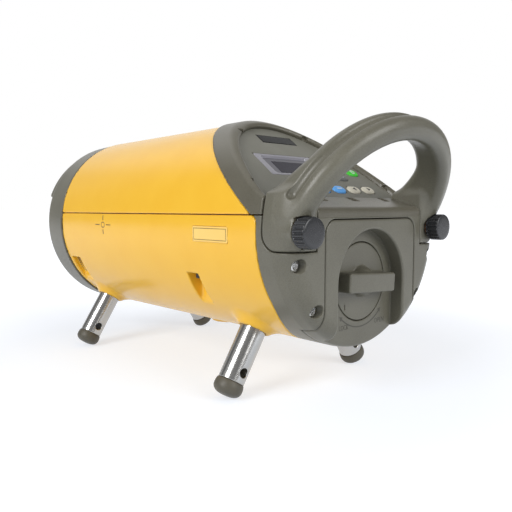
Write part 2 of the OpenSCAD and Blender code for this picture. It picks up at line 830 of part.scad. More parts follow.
module front_cap() color("dimgray") place() {
    cap_y = shell_len + part_line;
    edge_y = front_y - cap_round;
    difference() {
        union() {
            lathe() difference() {
                union() {
                    polygon([[0, cap_y], [cap_r, cap_y], [cap_front_r, edge_y],
                             [cap_front_r - cap_round, edge_y], [cap_front_r - cap_round, front_y],
                             [0, front_y]]);
                    translate([cap_front_r - cap_round, edge_y]) circle(cap_round);
                }
                span(0, cap_y - cut, cap_r - cap_side, front_y - cap_wall);
                span(0, cap_y - cut, window_r, front_y + cut);
                span(0, seat_y, window_r + window_seat, front_y + cut);
                span(0, ring_y, ring_or, front_y + cut);
            }
            rotate([-90, 0, 0]) rotate([0, 0, 270 - hood_half_angle])
                rotate_extrude(angle = 2 * hood_half_angle)
                    span(hood_out_r - hood_t, front_y - cap_round, hood_out_r, front_y + hood_len);
            front_screw_spots() rod_y(screw_boss_r, cap_y, front_y - cut);
        }
        front_screw_spots() {
            rod_y(screw_r + shank_clear, 0, front_y + cut);
            rod_y(head_r + head_clear, front_y - bore_deep, front_y + cut);
        }
    }
}

module window_ring() color("dimgray") place() {
    lathe() span(window_r + window_seat - ring_grip, ring_y, ring_or - part_line, front_y + ring_proud);
}

module window_glass() color("lightsteelblue") place() {
    rod_y(window_r + window_seat - part_line, seat_y + seal_t, seat_y + seal_t + glass_t);
}

module window_seal() color("black") place() {
    lathe() span(window_r + part_line, seat_y, window_r + window_seat - part_line, seat_y + seal_t);
}

module front_bulkhead() color("gray") place() {
    difference() {
        lathe() span(inner_r - bulkhead_w, shell_len - bulkhead_t, inner_r - shell_clear, shell_len - part_line);
        front_screw_spots() rod_y(screw_r + thread_clear, 0, front_y);
    }
}

module case_screws() color("silver") place() {
    front_screw_spots() translate([0, front_y - bore_deep + head_h, 0]) rotate([90, 0, 0])
        cap_screw(front_screw_len);
    for (p = REAR_SCREWS) translate([p[0], bore_deep - rear_len - head_h, p[1]]) rotate([-90, 0, 0])
        cap_screw(rear_screw_len);
}

// Legs and feet

module bar_hole() {
    translate([0, 0, foot_edge - bar_hole_up]) rotate([90, 0, 0])
        cylinder(r = bar_hole_r, h = 4 * leg_r, center = true);
}

module leg(i) {
    top = socket_in + socket_end + leg_end_clear;
    color("silver") place() on_leg(LEG_SPOTS[i]) difference() {
        translate([0, 0, top]) cylinder(r = leg_r, h = foot_edge - top);
        translate([0, 0, foot_edge - plug_len]) cylinder(r = leg_r - leg_wall, h = far);
        bar_hole();
    }
}

module foot(i) {
    color("dimgray") place() on_leg(LEG_SPOTS[i]) difference() {
        union() {
            intersection() {
                translate([0, 0, foot_edge]) cylinder(r = leg_r, h = far);
                union() {
                    translate([0, 0, dome_at]) sphere(dome_r);
                    translate([0, 0, foot_edge]) cylinder(r = leg_r, h = foot_len);
                }
            }
            translate([0, 0, foot_edge - plug_len + leg_end_clear])
                cylinder(r = leg_r - leg_wall - thread_clear, h = plug_len);
        }
        bar_hole();
    }
}

// Rear housing

module rear_outline(front, edge = rear_round) {
    polygon([[0, -rear_len], [rear_face_r - edge, -rear_len], [rear_face_r, -rear_len + edge],
             [body_r, -rear_len + rear_taper], [body_r, front], [0, front]]);
    translate([rear_face_r - edge, -rear_len + edge]) circle(edge);
}

module door_outline(grow) {
    w = door_hw + grow;
    low = -shoulder_z - door_gap / 2 + grow;
    span(-w, -far, w, door_top - door_round);
    span(door_round - door_hw, -far, door_hw - door_round, door_top + grow);
    for (sx = [-1, 1]) {
        translate([sx * (door_hw - door_round), door_top - door_round]) circle(door_round + grow);
        difference() {
            span(sx > 0 ? 0 : -door_hw - shoulder_round, -far, sx > 0 ? door_hw + shoulder_round : 0,
                 low + shoulder_round);
            translate([sx * (door_hw + shoulder_round), low + shoulder_round])
                circle(shoulder_round - grow);
        }
    }
    span(-far, -far, far, low);
}

module pad_profile(grow, top) {
    span(-far, -pad_low - grow, pad_front - pad_round, top);
    span(-far, -pad_low + pad_round, pad_front + grow, top);
    translate([pad_front - pad_round, -pad_low + pad_round]) circle(pad_round + grow);
}

module pad_room() {
    both_sides() slab_x(pad_in - pad_gap, far) pad_profile(pad_gap, far);
}

module thumb_spots() {
    both_sides() translate([thumb_x, 0, thumb_z]) children();
}

module rear_side() {
    chin_side(-part_line);
    span(-far, -far, -part_line, seam_z - part_line);
    difference() {
        span(-far, seam_z - part_line - seam_round, seam_round, seam_z - part_line);
        translate([seam_round + part_line, seam_z - part_line - seam_round])
            circle(seam_round + 2 * part_line);
    }
}

module rear_housing() color("dimgray") place() {
    difference() {
        intersection() {
            lathe() rear_outline(far);
            slab_x(-far, far) rear_side();
        }
        rod_y(inner_r - rear_rim, 0, far);
        slab_y(-far, door_in_y + door_gap) door_outline(door_gap);
        intersection() {
            slab_y(-far, far) span(-rear_bore_hw, -rear_bore_low, rear_bore_hw, far);
            rod_y(inner_r - rear_rim, -far, far);
        }
        slab_y(-far, far) span(-pad_in, door_top, pad_in, far);
        pad_room();
        thumb_spots() rod_y(thumb_shank_r + thumb_clear, -far, far);
        for (p = REAR_SCREWS) translate([p[0], 0, p[1]]) {
            rod_y(head_r + head_clear, -far, bore_deep - rear_len);
            rod_y(screw_r + shank_clear, -far, far);
        }
    }
}

module frame_side() {
    top_y = crest_y + (far - crest_z) / slope_t;
    polygon([[-rear_len, door_top + door_gap], [-rear_len, band_top], [band_break_y, band_break_z],
             [crest_y, crest_z], [top_y, far], [seam_round - part_line + (far - seam_z) / slope_t, far],
             [seam_round - part_line, seam_z + part_line], [pad_front, seam_z + part_line],
             [pad_front, door_top + door_gap]]);
}

module panel_cut(r, low, deep) {
    intersection() {
        translate([0, 0, bezel_up]) rod_y(r, -far, far);
        on_panel() translate([-far, low, -deep]) cube([2 * far, far, far]);
    }
}

module panel_frame() color("dimgray") place() {
    difference() {
        intersection() {
            translate([0, 0, bezel_up]) lathe() rear_outline(far);
            slab_x(-far, far) frame_side();
            union() {
                slab_x(-pad_in, pad_in) span(-far, 0, far, far);
                slab_x(-far, far) span(-far, seam_z + part_line, far, far);
            }
        }
        panel_cut(panel_r, panel_low, panel_deep + plate_t);
        panel_cut(panel_r - ledge_w, panel_low + ledge_w, far);
        pad_room();
        thumb_spots() rod_y(thumb_shank_r + thumb_clear, -far, far);
    }
}

// Control panel

module window_pocket(w, h, u, v, grow) {
    translate([u, v, -panel_deep]) translate([-w / 2 - grow, -h / 2 - grow, -pane_t])
        cube([w + 2 * grow, h + 2 * grow, far]);
    translate([u, v, -far]) translate([pane_lip - w / 2, pane_lip - h / 2, 0])
        cube([w - 2 * pane_lip, h - 2 * pane_lip, far]);
}

module panel_plate() color("slategray") place() {
    difference() {
        union() {
            intersection() {
                translate([0, 0, bezel_up]) rod_y(panel_r - plate_clear, -far, far);
                on_panel() translate([-far, panel_low + plate_clear, plate_back])
                    cube([2 * far, far, plate_t]);
            }
            on_panel() for (p = BOARD_POSTS) translate([p[0], p[1], pad_board_top])
                cylinder(r = post_r, h = plate_back - pad_board_top + plate_t / 2);
        }
        on_panel() {
            window_pocket(lcd_w, lcd_h, lcd_u, lcd_v, plate_clear);
            window_pocket(sensor_w, sensor_h, 0, sensor_v, plate_clear);
            for (k = KEY_SPOTS) translate([k[0], k[1], -far]) linear_extrude(2 * far)
                oval(key_hl + key_clear, key_hh + key_clear);
        }
    }
}

module display_window() color("lightslategray") place() on_panel() {
    translate([lcd_u - lcd_w / 2, lcd_v - lcd_h / 2, -panel_deep - pane_t]) cube([lcd_w, lcd_h, pane_t]);
}

module sensor_window() color("black") place() on_panel() {
    translate([-sensor_w / 2, sensor_v - sensor_h / 2, -panel_deep - pane_t])
        cube([sensor_w, sensor_h, pane_t]);
}

module display_module() color("darkslategray") place() on_panel() {
    translate([lcd_u - lcd_w / 2, lcd_v - lcd_h / 2, pad_board_top])
        cube([lcd_w, lcd_h, plate_back - pad_board_top]);
}

module keypad_board() color("seagreen") place() {
    intersection() {
        translate([0, 0, bezel_up]) rod_y(panel_r - ledge_w - key_travel, -far, far);
        on_panel() translate([-far, panel_low + ledge_w + key_travel, pad_board_top - board_t])
            cube([2 * far, sensor_v - sensor_h / 2 - panel_low - ledge_w, board_t]);
    }
}

module key(spot, colour) {
    color(colour) place() on_panel() translate([spot[0], spot[1], 0]) {
        translate([0, 0, key_low]) linear_extrude(key_top - key_low) oval(key_hl, key_hh);
        translate([0, 0, key_low]) linear_extrude(key_flange_t)
            oval(key_hl + key_flange, key_hh + key_flange);
    }
}

// Battery drawer and its bay

module battery_door() color("dimgray") place() {
    difference() {
        intersection() {
            lathe() rear_outline(0);
            slab_y(-rear_len, door_in_y) door_outline(0);
        }
        translate([0, 0, -knob_low]) rod_y(pocket_r, -far, pocket_y);
        slab_y(-far, pocket_y) span(-pocket_r, -far, pocket_r, -knob_low);
        translate([0, 0, -knob_low]) {
            rod_y(knob_r + knob_clear, -far, pocket_y + knob_t + knob_clear);
            rod_y(lock_shaft_r + pin_clear, -far, far);
        }
    }
}

module mouth_shape(grow) {
    span(-bay_hw - grow, bay_floor - grow, bay_hw + grow, bay_top + grow);
    span(-well_hw - grow, -well_low - grow, well_hw + grow, bay_floor);
}

module door_gasket() color("black") place() {
    slab_y(door_in_y, door_in_y + door_gasket_t) difference() {
        mouth_shape(bay_wall);
        mouth_shape(bay_clear);
    }
}

module cell_spots() {
    for (sx = [-1, 1], i = [0, 1])
        translate([sx * (cell_r + cell_clear / 2), cells_y + i * cell_len, -cell_low]) children();
}

module battery_tray() color("darkgray") place() {
    rim = -tray_rim_low;
    difference() {
        translate([-tray_hw, tray_y, tray_floor - tray_wall])
            cube([2 * tray_hw, tray_end_y + tray_end - tray_y, rim - tray_floor + tray_wall]);
        translate([tray_wall - tray_hw, tray_y + tray_end, tray_floor])
            cube([2 * (tray_hw - tray_wall), tray_end_y - tray_y - tray_end, far]);
        for (sx = [-1, 1]) translate([sx * (cell_r + cell_clear / 2), 0, -cell_low])
            rod_y(contact_r + contact_room, cells_y, far);
    }
    both_sides() translate([tray_hw - arm_w, door_in_y, tray_floor - tray_wall])
        cube([arm_w, tray_in, rim - tray_floor + tray_wall]);
}

module battery_cells() color("darkslateblue") place() {
    cell_spots() {
        rod_y(cell_r, cell_clear, cell_len - cell_cap - cell_clear);
        rod_y(cell_cap_r, cell_len - cell_cap - 2 * cell_clear, cell_len - cell_clear);
    }
}

module board_spots() {
    edge = 2 * post_r;
    for (sx = [-1, 1], y = [main_y + edge, main_y + main_len - edge])
        translate([sx * (main_hw - edge), y, bay_roof - bay_wall / 2]) children();
}

module battery_bay() color("gray") place() {
    board_spots() cylinder(r = post_r, h = main_post + bay_wall / 2);
    difference() {
        union() {
            slab_y(bay_y, bay_y + well_len) mouth_shape(bay_wall);
            slab_y(bay_y, bay_end_y + bay_wall)
                span(-bay_hw - bay_wall, bay_floor - bay_wall, bay_hw + bay_wall, bay_roof);
        }
        slab_y(bay_y - cut, bay_y + well_len - bay_wall) mouth_shape(0);
        slab_y(bay_y - cut, bay_end_y) span(-bay_hw, bay_floor, bay_hw, bay_top);
    }
}

module battery_contacts() color("gold") place() {
    for (sx = [-1, 1]) translate([sx * (cell_r + cell_clear / 2), 0, -cell_low])
        rod_y(contact_r, tray_end_y + 2 * cell_clear, bay_end_y);
}

module lock_knob() color("gray") place() translate([0, 0, -knob_low]) {
    difference() {
        union() {
            rod_y(knob_r, pocket_y, pocket_y + knob_t);
            rotate([0, bar_tilt, 0]) translate([-bar_hl, -rear_len - bar_out, -bar_h / 2])
                cube([2 * bar_hl, pocket_deep + bar_out + knob_t / 2, bar_h]);
            intersection() {
                translate([0, pocket_y, 0]) sphere(hub_r);
                rod_y(hub_r, -far, pocket_y + knob_t / 2);
            }
            rod_y(lock_shaft_r, pocket_y, door_in_y + door_gasket_t);
        }
        rod_y(screw_r + thread_clear, pocket_y + knob_t, far);
    }
}

module lock_cam() color("silver") place() translate([0, 0, -knob_low]) {
    cam_y = door_in_y + door_gasket_t;
    translate([-cam_hl, cam_y, -cam_h / 2]) cube([2 * cam_hl, cam_t, cam_h]);
    rod_y(screw_r, pocket_y + knob_t + thread_end, cam_y + cam_t / 2);
}

// Handle and thumb screws

// A section swept along the arch: a flatter top and two rounder corners, each way to the sweep
module arch_sweep(sweep) {
    on_handle() {
        translate([0, arch_fall, 0]) rotate([0, 0, 270 - arch_turn])
            rotate_extrude(angle = 2 * arch_turn) translate([top_r, 0]) children();
        both_sides() translate([arch_side, 0, 0]) rotate([0, 0, 270 + arch_turn])
            rotate_extrude(angle = sweep - arch_turn) translate([corner_r, 0]) children();
    }
}

module handle_section() {
    rotate(handle_twist) {
        span(-handle_t / 2, -section_b, handle_t / 2, section_b);
        span(-section_a, -handle_w / 2, section_a, handle_w / 2);
        for (a = [-1, 1], b = [-1, 1]) translate([a * section_a, b * section_b]) circle(handle_round);
    }
}

module handle_web() {
    intersection() {
        on_handle() both_sides() translate([arch_side, 0, 0]) rotate([0, 0, 270 + arch_turn])
            rotate_extrude(angle = 90) translate([corner_r, 0])
                span(web_in - handle_t / 2, 0, handle_t / 2 - web_in, far);
        slab_x(-far, far)
            polygon([[arch_y, arch_z], [pad_front, pad_top - cut], [pad_front, pad_top], [web_y, web_z]]);
    }
}

module handle() color("dimgray") place() {
    difference() {
        union() {
            arch_sweep(90) handle_section();
            handle_web();
            both_sides() intersection() {
                lathe() rear_outline(0, pad_edge);
                slab_x(pad_in, far) pad_profile(0, pad_top);
            }
            thumb_spots() translate([0, thumb_face_y, 0]) rotate([-90, 0, 0])
                cylinder(r1 = thumb_boss_r, r2 = boss_tip_r, h = boss_len);
        }
        arch_sweep(groove_half_angle) rotate(handle_twist)
            translate([handle_t / 2 + groove_r / 2, 0]) circle(groove_r);
        thumb_spots() {
            rod_y(thumb_r + thumb_clear, -far, thumb_face_y);
            rod_y(thumb_shank_r + thumb_clear, -far, far);
        }
    }
}

module thumb_washers() color("peru") place() thumb_spots() difference() {
    rod_y(washer_r, thumb_face_y - washer_t, thumb_face_y);
    rod_y(thumb_shank_r + thumb_clear, -far, far);
}

module thumb_screw(sx) {
    base_y = thumb_face_y - washer_t - washer_clear;
    color("darkslategray") place() translate([sx * thumb_x, 0, thumb_z]) {
        rod_y(thumb_r, base_y - thumb_len, base_y);
        rod_y(thumb_shank_r, base_y - cut, pad_front + thumb_grip);
    }
}

// Laser on its gimbal

module gimbal_base() color("gray") place() {
    difference() {
        union() {
            lathe() span(base_in_r, pivot_y - base_hw, base_out_r, pivot_y + base_hw);
            intersection() {
                rod_y(inner_r - shell_clear, pivot_y - base_hw, pivot_y + base_hw);
                translate([-base_foot_hw, 0, -far]) cube([2 * base_foot_hw, far, far - base_in_r - cut]);
            }
        }
        translate([0, pivot_y, 0])
            cylinder(r = pin_r + thread_clear, h = 2 * (base_out_r + cut), center = true);
    }
}

module line_pins() color("silver") place() translate([0, pivot_y, 0]) {
    for (sz = [0, 180]) rotate([sz, 0, 0]) translate([0, 0, line_in_r])
        cylinder(r = pin_r, h = base_out_r - line_in_r);
}

module line_frame() color("lightgray") place() {
    difference() {
        union() {
            lathe() span(line_in_r, pivot_y - line_hw, line_out_r, pivot_y + line_hw);
            translate([line_out_r - lever_t, pivot_y - line_arm - lever_hh, -lever_hh])
                cube([lever_t, line_arm + lever_hh, 2 * lever_hh]);
        }
        translate([0, pivot_y, 0]) {
            cylinder(r = pin_r + pin_clear, h = 2 * far, center = true);
            rotate([0, 90, 0]) cylinder(r = pin_r + pin_clear, h = 2 * far, center = true);
        }
    }
}

module laser_barrel() color("darkslategray") place() {
    difference() {
        rod_y(barrel_r, pivot_y - barrel_rear, pivot_y + barrel_front);
        rod_y(barrel_r - barrel_wall, 0, far);
        translate([0, pivot_y, 0]) rotate([0, 90, 0])
            cylinder(r = pin_r + thread_clear, h = 2 * far, center = true);
    }
}

module grade_pins() color("silver") place() translate([0, pivot_y, 0]) both_sides() rotate([0, 90, 0]) {
    pin_in = barrel_r - barrel_wall;
    translate([0, 0, pin_in]) cylinder(r = pin_r, h = line_out_r - lever_t - pin_in);
}

module collimator_lens() color("lightcyan") place() {
    lens_y = pivot_y + barrel_front - lens_in;
    rod_y(barrel_r - barrel_wall - thread_clear, lens_y - lens_t, lens_y);
}

module laser_diode() color("peru") place() {
    diode_y = pivot_y - barrel_rear;
    rod_y(barrel_r - barrel_wall - thread_clear, diode_y, diode_y + diode_flange_t);
    rod_y(diode_r, diode_y, diode_y + diode_len);
}

module level_sensor() color("seagreen") place() {
    difference() {
        translate([-level_hw, pivot_y - barrel_rear + level_in, barrel_r - barrel_wall / 2])
            cube([2 * level_hw, level_len, level_h + barrel_wall / 2]);
        rod_y(barrel_r + thread_clear, 0, far);
    }
}

module grade_actuator() color("gray") place() {
    y = pivot_y - grade_arm;
    difference() {
        intersection() {
            rod_y(inner_r - shell_clear, 0, shell_len);
            translate([-actuator_hw, y - actuator_hw, -far])
                cube([2 * actuator_hw, 2 * actuator_hw, far - grade_top]);
        }
        translate([0, y, -grade_top - grade_bore]) cylinder(r = plunger_r + pin_clear, h = far);
    }
}

module grade_plunger() color("silver") place() {
    translate([0, pivot_y - grade_arm, grade_tip - grade_plunger_len])
        cylinder(r = plunger_r, h = grade_plunger_len);
}

module line_actuator() color("gray") place() {
    y = pivot_y - line_arm;
    difference() {
        intersection() {
            rod_y(inner_r - shell_clear, 0, shell_len);
            translate([line_face_x, y - actuator_hw, -actuator_hw])
                cube([far, 2 * actuator_hw, 2 * actuator_hw]);
        }
        translate([line_face_x - cut, y, 0]) rotate([0, 90, 0])
            cylinder(r = plunger_r + pin_clear, h = line_bore + cut);
    }
}

module line_plunger() color("silver") place() {
    translate([line_tip, pivot_y - line_arm, 0]) rotate([0, 90, 0])
        cylinder(r = plunger_r, h = line_plunger_len);
}

// Main board

module main_board() color("seagreen") place() {
    translate([-main_hw, main_y, bay_roof + main_post]) cube([2 * main_hw, main_len, board_t]);
}

upper_shell();
lower_shell();
seam_gasket();
shell_screws();
front_cap();
window_ring();
window_glass();
window_seal();
front_bulkhead();
case_screws();
label_plate();
mount_insert();
rear_housing();
panel_frame();
panel_plate();
display_window();
sensor_window();
display_module();
keypad_board();
for (i = [1:key_count])
    key(ROW_KEYS[i - 1], KEY_COLOURS[i - 1]);
key(POWER_KEY, "limegreen");  // power_key
key(ARROW_KEY, "gray");  // arrow_key
battery_door();
door_gasket();
battery_tray();
battery_cells();
battery_bay();
battery_contacts();
lock_knob();
lock_cam();
handle();
thumb_washers();
thumb_screw(-1);  // left_thumb_screw
thumb_screw(1);  // right_thumb_screw
leg(0);  // rear_left_leg
leg(1);  // rear_right_leg
leg(2);  // front_left_leg
leg(3);  // front_right_leg
foot(0);  // rear_left_foot
foot(1);  // rear_right_foot
foot(2);  // front_left_foot
foot(3);  // front_right_foot
gimbal_base();
line_pins();
line_frame();
laser_barrel();
grade_pins();
collimator_lens();
laser_diode();
level_sensor();
grade_actuator();
grade_plunger();
line_actuator();
line_plunger();
main_board();
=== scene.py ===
from functools import reduce
from math import cos, pi, radians, sin

import bmesh
import bpy
import numpy as np
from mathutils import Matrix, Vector


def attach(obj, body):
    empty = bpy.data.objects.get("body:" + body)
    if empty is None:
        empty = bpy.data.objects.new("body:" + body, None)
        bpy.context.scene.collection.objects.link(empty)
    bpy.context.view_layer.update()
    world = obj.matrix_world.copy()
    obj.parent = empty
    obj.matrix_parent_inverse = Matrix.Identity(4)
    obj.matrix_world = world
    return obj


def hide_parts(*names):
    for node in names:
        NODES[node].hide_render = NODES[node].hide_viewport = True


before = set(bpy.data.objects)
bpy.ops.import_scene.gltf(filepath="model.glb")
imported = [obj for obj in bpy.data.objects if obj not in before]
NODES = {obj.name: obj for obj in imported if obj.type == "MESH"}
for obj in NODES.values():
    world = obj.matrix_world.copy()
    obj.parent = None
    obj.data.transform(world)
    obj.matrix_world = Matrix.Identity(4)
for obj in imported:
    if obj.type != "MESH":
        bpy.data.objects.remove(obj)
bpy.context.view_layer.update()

# The sizes below are in millimetres, in the instrument's own frame: its axis is at x = z = 0,
# y = 0 is the rear edge of the lower shell, and the beam leaves along +y.
MID_Y = 96.6469
AXIS_H = 88.189
BODY_R = 61.0
INNER_R = 58.0
CAVITY_R = 57.0
CROWN = 1.2
SHELL_LEN = 208.0
SEAM_Z = 8.0
ABOVE_SEAM = SEAM_Z + 0.2
BELOW_SEAM = SEAM_Z - 0.2
CASE_GAP = 0.4
WELL_INSIDE = -9.0

# Front cap, hood and window ring
CAP_Y = 208.2
CAP_R = 62.0
FRONT_Y = 238.0
HOOD_R = 56.9
RING_SEAT_Y = 236.5

# Rear housing and control panel
REAR_Y = -22.0
REAR_EDGE = 7.0
SLOPE = radians(36.8)
CREST = (-3.0, 16.5)
BEZEL_UP = 2.4
PANEL_DEEP = 3.0
DISPLAY = (-9.5, 34.0)
ROW_UP = 11.6
ROW_START = -30.8
ROW_PITCH = 13.2

# Handle pads and thumb screws
PAD_X = 43.0
PAD_Y = -4.0
PAD_LOW = -8.5
PAD_ROUND = 8.0
THUMB = (53.9, 0.3)
THUMB_HOLE = 2.8
THUMB_FACE_Y = -21.6
THUMB_SEAT_Y = -22.5
THREAD_R = 2.48
THREAD_CUT = 0.22
HALF_PITCH = 0.5

# Legs by side and place along the body, and distances out along a leg
LEG_ANGLE = radians(32.4)
LEG_SPOTS = {"rear_left": (-1, 31.0), "rear_right": (1, 31.0),
             "front_left": (-1, 190.0), "front_right": (1, 190.0)}
COLLAR_END = 64.2
BAR_HOLE_OUT = 87.74
BAR_HOLE_R = 2.5
FOOT_WIDEST = 96.7
FOOT_R = 7.9

# Side recesses by middle and half length, the screws' places and the thread's insert
RECESS_SPOTS = ((56.0, 5.0), (198.0, 6.3))
RECESS_TOP = -23.8
RECESS_SCREW_X = 50.58
RECESS_SCREW_YS = (55.0, 194.5)
SCREW_HEAD = 3.0
REAR_HEAD_Y = -17.7
FRONT_HEAD_Y = 233.0
INSERT_Y = 92.0

# Lock, and how deep the prints are
KNOB_LOW = 26.7
POCKET_Y = -14.0
TURN_ARROW = (-40, 43)
PRINT_DEPTH = 0.06
SIGN_DEPTH = 0.12
SIGN_LIFT = -2.06


def ring_spots(radius, bearings):
    """Places on a ring, by degrees from straight right."""
    return [(radius * cos(radians(b)), radius * sin(radians(b))) for b in bearings]


REAR_SCREWS = ring_spots(55.2, (195.5, 221.5, -15.5, -41.5))
FRONT_SCREWS = ring_spots(47.0, (0, 180, 240, 300))


def to_frame(points):
    """Points in the instrument's millimetres, moved to the shared frame in metres."""
    return (np.asarray(points, float) + (0, -MID_Y, AXIS_H)) / 1000


def on_panel(points):
    """Places across, up and out of the control panel, in the instrument's millimetres."""
    u, v, w = np.asarray(points, float).T
    return np.stack([u, CREST[0] + v * cos(SLOPE) - w * sin(SLOPE),
                     CREST[1] + v * sin(SLOPE) + w * cos(SLOPE)], 1)


def on_leg(side, along):
    """Turns places across, along the body and out along a leg into the instrument's millimetres."""
    def turned(points):
        a, b, out = np.asarray(points, float).T
        return np.stack([side * (out * sin(LEG_ANGLE) + a * cos(LEG_ANGLE)), along + b,
                         a * sin(LEG_ANGLE) - out * cos(LEG_ANGLE)], 1)
    return turned


def facing_rear(x, y, z):
    """Turns places across, up and out to the rear of a spot into the instrument's millimetres."""
    def turned(points):
        a, b, out = np.asarray(points, float).T
        return np.stack([x + a, y - out, z + b], 1)
    return turned


def as_drawn(points):
    return np.asarray(points, float)


# Shapes from distance fields, so that every edge has its moulded radius

def join(a, b, fillet):
    """Two fields as one, with a fillet between them."""
    near = np.hypot(np.maximum(fillet - a, 0), np.maximum(fillet - b, 0))
    return np.maximum(fillet, np.minimum(a, b)) - near


def meet(a, b, radius):
    """What two fields share, with a rounded edge."""
    near = np.hypot(np.maximum(radius + a, 0), np.maximum(radius + b, 0))
    return np.minimum(-radius, np.maximum(a, b)) + near


def carve(a, b, radius):
    """The first field without the second, with a rounded edge."""
    return meet(a, -b, radius)


def cut(a, b):
    """The first field without the second, with a sharp edge."""
    return np.maximum(a, -b)


def within(*fields):
    """What several fields share, with sharp edges."""
    return reduce(np.maximum, fields)


def plate(u, v, half_u, half_v, radius):
    """A flat rectangle with rounded corners."""
    a = np.abs(u) - half_u + radius
    b = np.abs(v) - half_v + radius
    return np.hypot(np.maximum(a, 0), np.maximum(b, 0)) + np.minimum(np.maximum(a, b), 0) - radius


def slope_of(field, points, reach):
    """How a field grows at each point."""
    return np.stack([(field(*(points + reach * e).T) - field(*(points - reach * e).T)) / (2 * reach)
                     for e in np.eye(3)], 1)


def skin(field, low, high, step):
    """Corner points and four-sided faces of the surface where a field is zero."""
    low, high = np.asarray(low, float), np.asarray(high, float)
    size = np.ceil((high - low) / step).astype(int) + 1
    grid = np.meshgrid(*[low[k] + step * np.arange(size[k]) for k in range(3)], indexing="ij")
    values = field(*grid)
    inside = values < 0
    cells = tuple(size - 1)
    def corner(data, c):
        return data[tuple(slice(c[k], c[k] + cells[k]) for k in range(3))]

    corners = [(i, j, k) for i in (0, 1) for j in (0, 1) for k in (0, 1)]
    count = sum(corner(inside, c).astype(np.int8) for c in corners)
    active = (count > 0) & (count < 8)
    number = np.full(cells, -1)
    number[active] = np.arange(active.sum())
    place = np.zeros((active.sum(), 3))
    weight = np.zeros(active.sum())
    for c, axis in [(c, axis) for c in corners for axis in range(3) if not c[axis]]:
        d = tuple(c[k] + (k == axis) for k in range(3))
        va, vb = corner(values, c)[active], corner(values, d)[active]
        crossed = (va < 0) != (vb < 0)
        share = np.where(crossed, va / np.where(crossed, va - vb, 1), 0)
        spot = np.array(c, float) + share[:, None] * np.eye(3)[axis]
        place += spot * crossed[:, None]
        weight += crossed
    points = low + step * (np.argwhere(active) + place / weight[:, None])
    # Settle every point on the surface
    for _ in range(4):
        slope = slope_of(field, points, step * 0.02)
        pull = slope * (field(*points.T) / np.maximum((slope ** 2).sum(1), 1e-3))[:, None]
        points -= np.clip(pull, -step * 0.4, step * 0.4)
    faces = []
    for axis in range(3):
        b, c = (axis + 1) % 3, (axis + 2) % 3
        change = inside != np.roll(inside, -1, axis)
        keep = np.zeros_like(change)
        window = [slice(1, size[k] - 1) for k in range(3)]
        window[axis] = slice(0, size[axis] - 1)
        keep[tuple(window)] = True
        spots = np.argwhere(change & keep)
        back_b, back_c = np.eye(3, dtype=int)[b], np.eye(3, dtype=int)[c]
        ring = [spots - back_b - back_c, spots - back_c, spots, spots - back_b]
        quad = np.stack([number[tuple(r.T)] for r in ring], 1)
        flip = ~inside[tuple(spots.T)]
        quad[flip] = quad[flip][:, ::-1]
        faces.append(quad)
    return points, np.concatenate(faces)


def plain_mesh(name, points, faces, smooth=True):
    """A mesh from points in metres."""
    mesh = bpy.data.meshes.new(name)
    mesh.from_pydata([tuple(p) for p in points], [], [tuple(f) for f in faces])
    mesh.polygons.foreach_set("use_smooth", [smooth] * len(mesh.polygons))
    return mesh


def link_piece(name, data):
    piece = bpy.data.objects.new(name, data)
    bpy.context.scene.collection.objects.link(piece)
    return piece


def mesh_object(name, points, faces, material, normals=None, smooth=True):
    """A finished piece from points in the instrument's millimetres."""
    mesh = plain_mesh(name, to_frame(points), faces, smooth)
    if normals is not None:
        mesh.normals_split_custom_set_from_vertices([tuple(n) for n in normals])
    mesh.materials.append(material)
    return link_piece(name, mesh)


def finished_mesh(source):
    """A piece's or a word's mesh as it is shown."""
    depsgraph = bpy.context.evaluated_depsgraph_get()
    return bpy.data.meshes.new_from_object(source.evaluated_get(depsgraph))


def fit(piece, body, slot, *nodes):
    """Seats a finished piece on its body, in the place of its CAD nodes."""
    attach(piece, body)
    if nodes:
        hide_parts(*nodes)


def mirrors(place):
    """Whether a placing turns shapes into their mirror images."""
    axes = place(np.vstack([np.zeros(3), np.eye(3)]))
    return np.linalg.det(axes[1:] - axes[0]) < 0


def moulded(name, field, low, high, step, material, body, slot, *nodes, place=as_drawn):
    """A fitted piece whose surface is a field, between two corners in its own frame."""
    points, faces = skin(field, low, high, step)
    slope = slope_of(field, points, step * 0.05)
    ahead = points + slope * (1e-3 / np.maximum(np.linalg.norm(slope, axis=1), 1e-6))[:, None]
    placed = place(points)
    normals = place(ahead) - placed
    normals /= np.maximum(np.linalg.norm(normals, axis=1), 1e-9)[:, None]
    if mirrors(place):
        faces = faces[:, ::-1]
    fit(mesh_object(name, placed, faces, material, normals), body, slot, *nodes)


def lathed(name, profile, material, place, steps):
    """A turned piece: pairs of radius and height, turned round the third axis of its own frame."""
    turn = np.arange(steps) * 2 * pi / steps
    points, faces, rows = [], [], []
    for radius, height in profile:
        if radius < 1e-6:
            rows.append([len(points)] * steps)
            points.append((0, 0, height))
        else:
            rows.append(list(range(len(points), len(points) + steps)))
            points += [(radius * cos(t), radius * sin(t), height) for t in turn]
    for lower, upper in zip(rows, rows[1:]):
        for i in range(steps):
            k = (i + 1) % steps
            faces.append(tuple(dict.fromkeys((lower[i], lower[k], upper[k], upper[i]))))
    if mirrors(place):
        faces = [f[::-1] for f in faces]
    return mesh_object(name, place(points), faces, material)


# Materials

def plug(tree, node, **inputs):
    """Sets or links a node's inputs by their names."""
    for key, value in inputs.items():
        socket = node.inputs[key.replace("_", " ")]
        if isinstance(value, bpy.types.NodeSocket):
            tree.links.new(value, socket)
        else:
            socket.default_value = value


def wire(tree, kind, output=0, **inputs):
    """A node with its inputs set or linked: one of its outputs, or the whole node for None."""
    node = tree.nodes.new(kind)
    plug(tree, node, **inputs)
    return node if output is None else node.outputs[output]


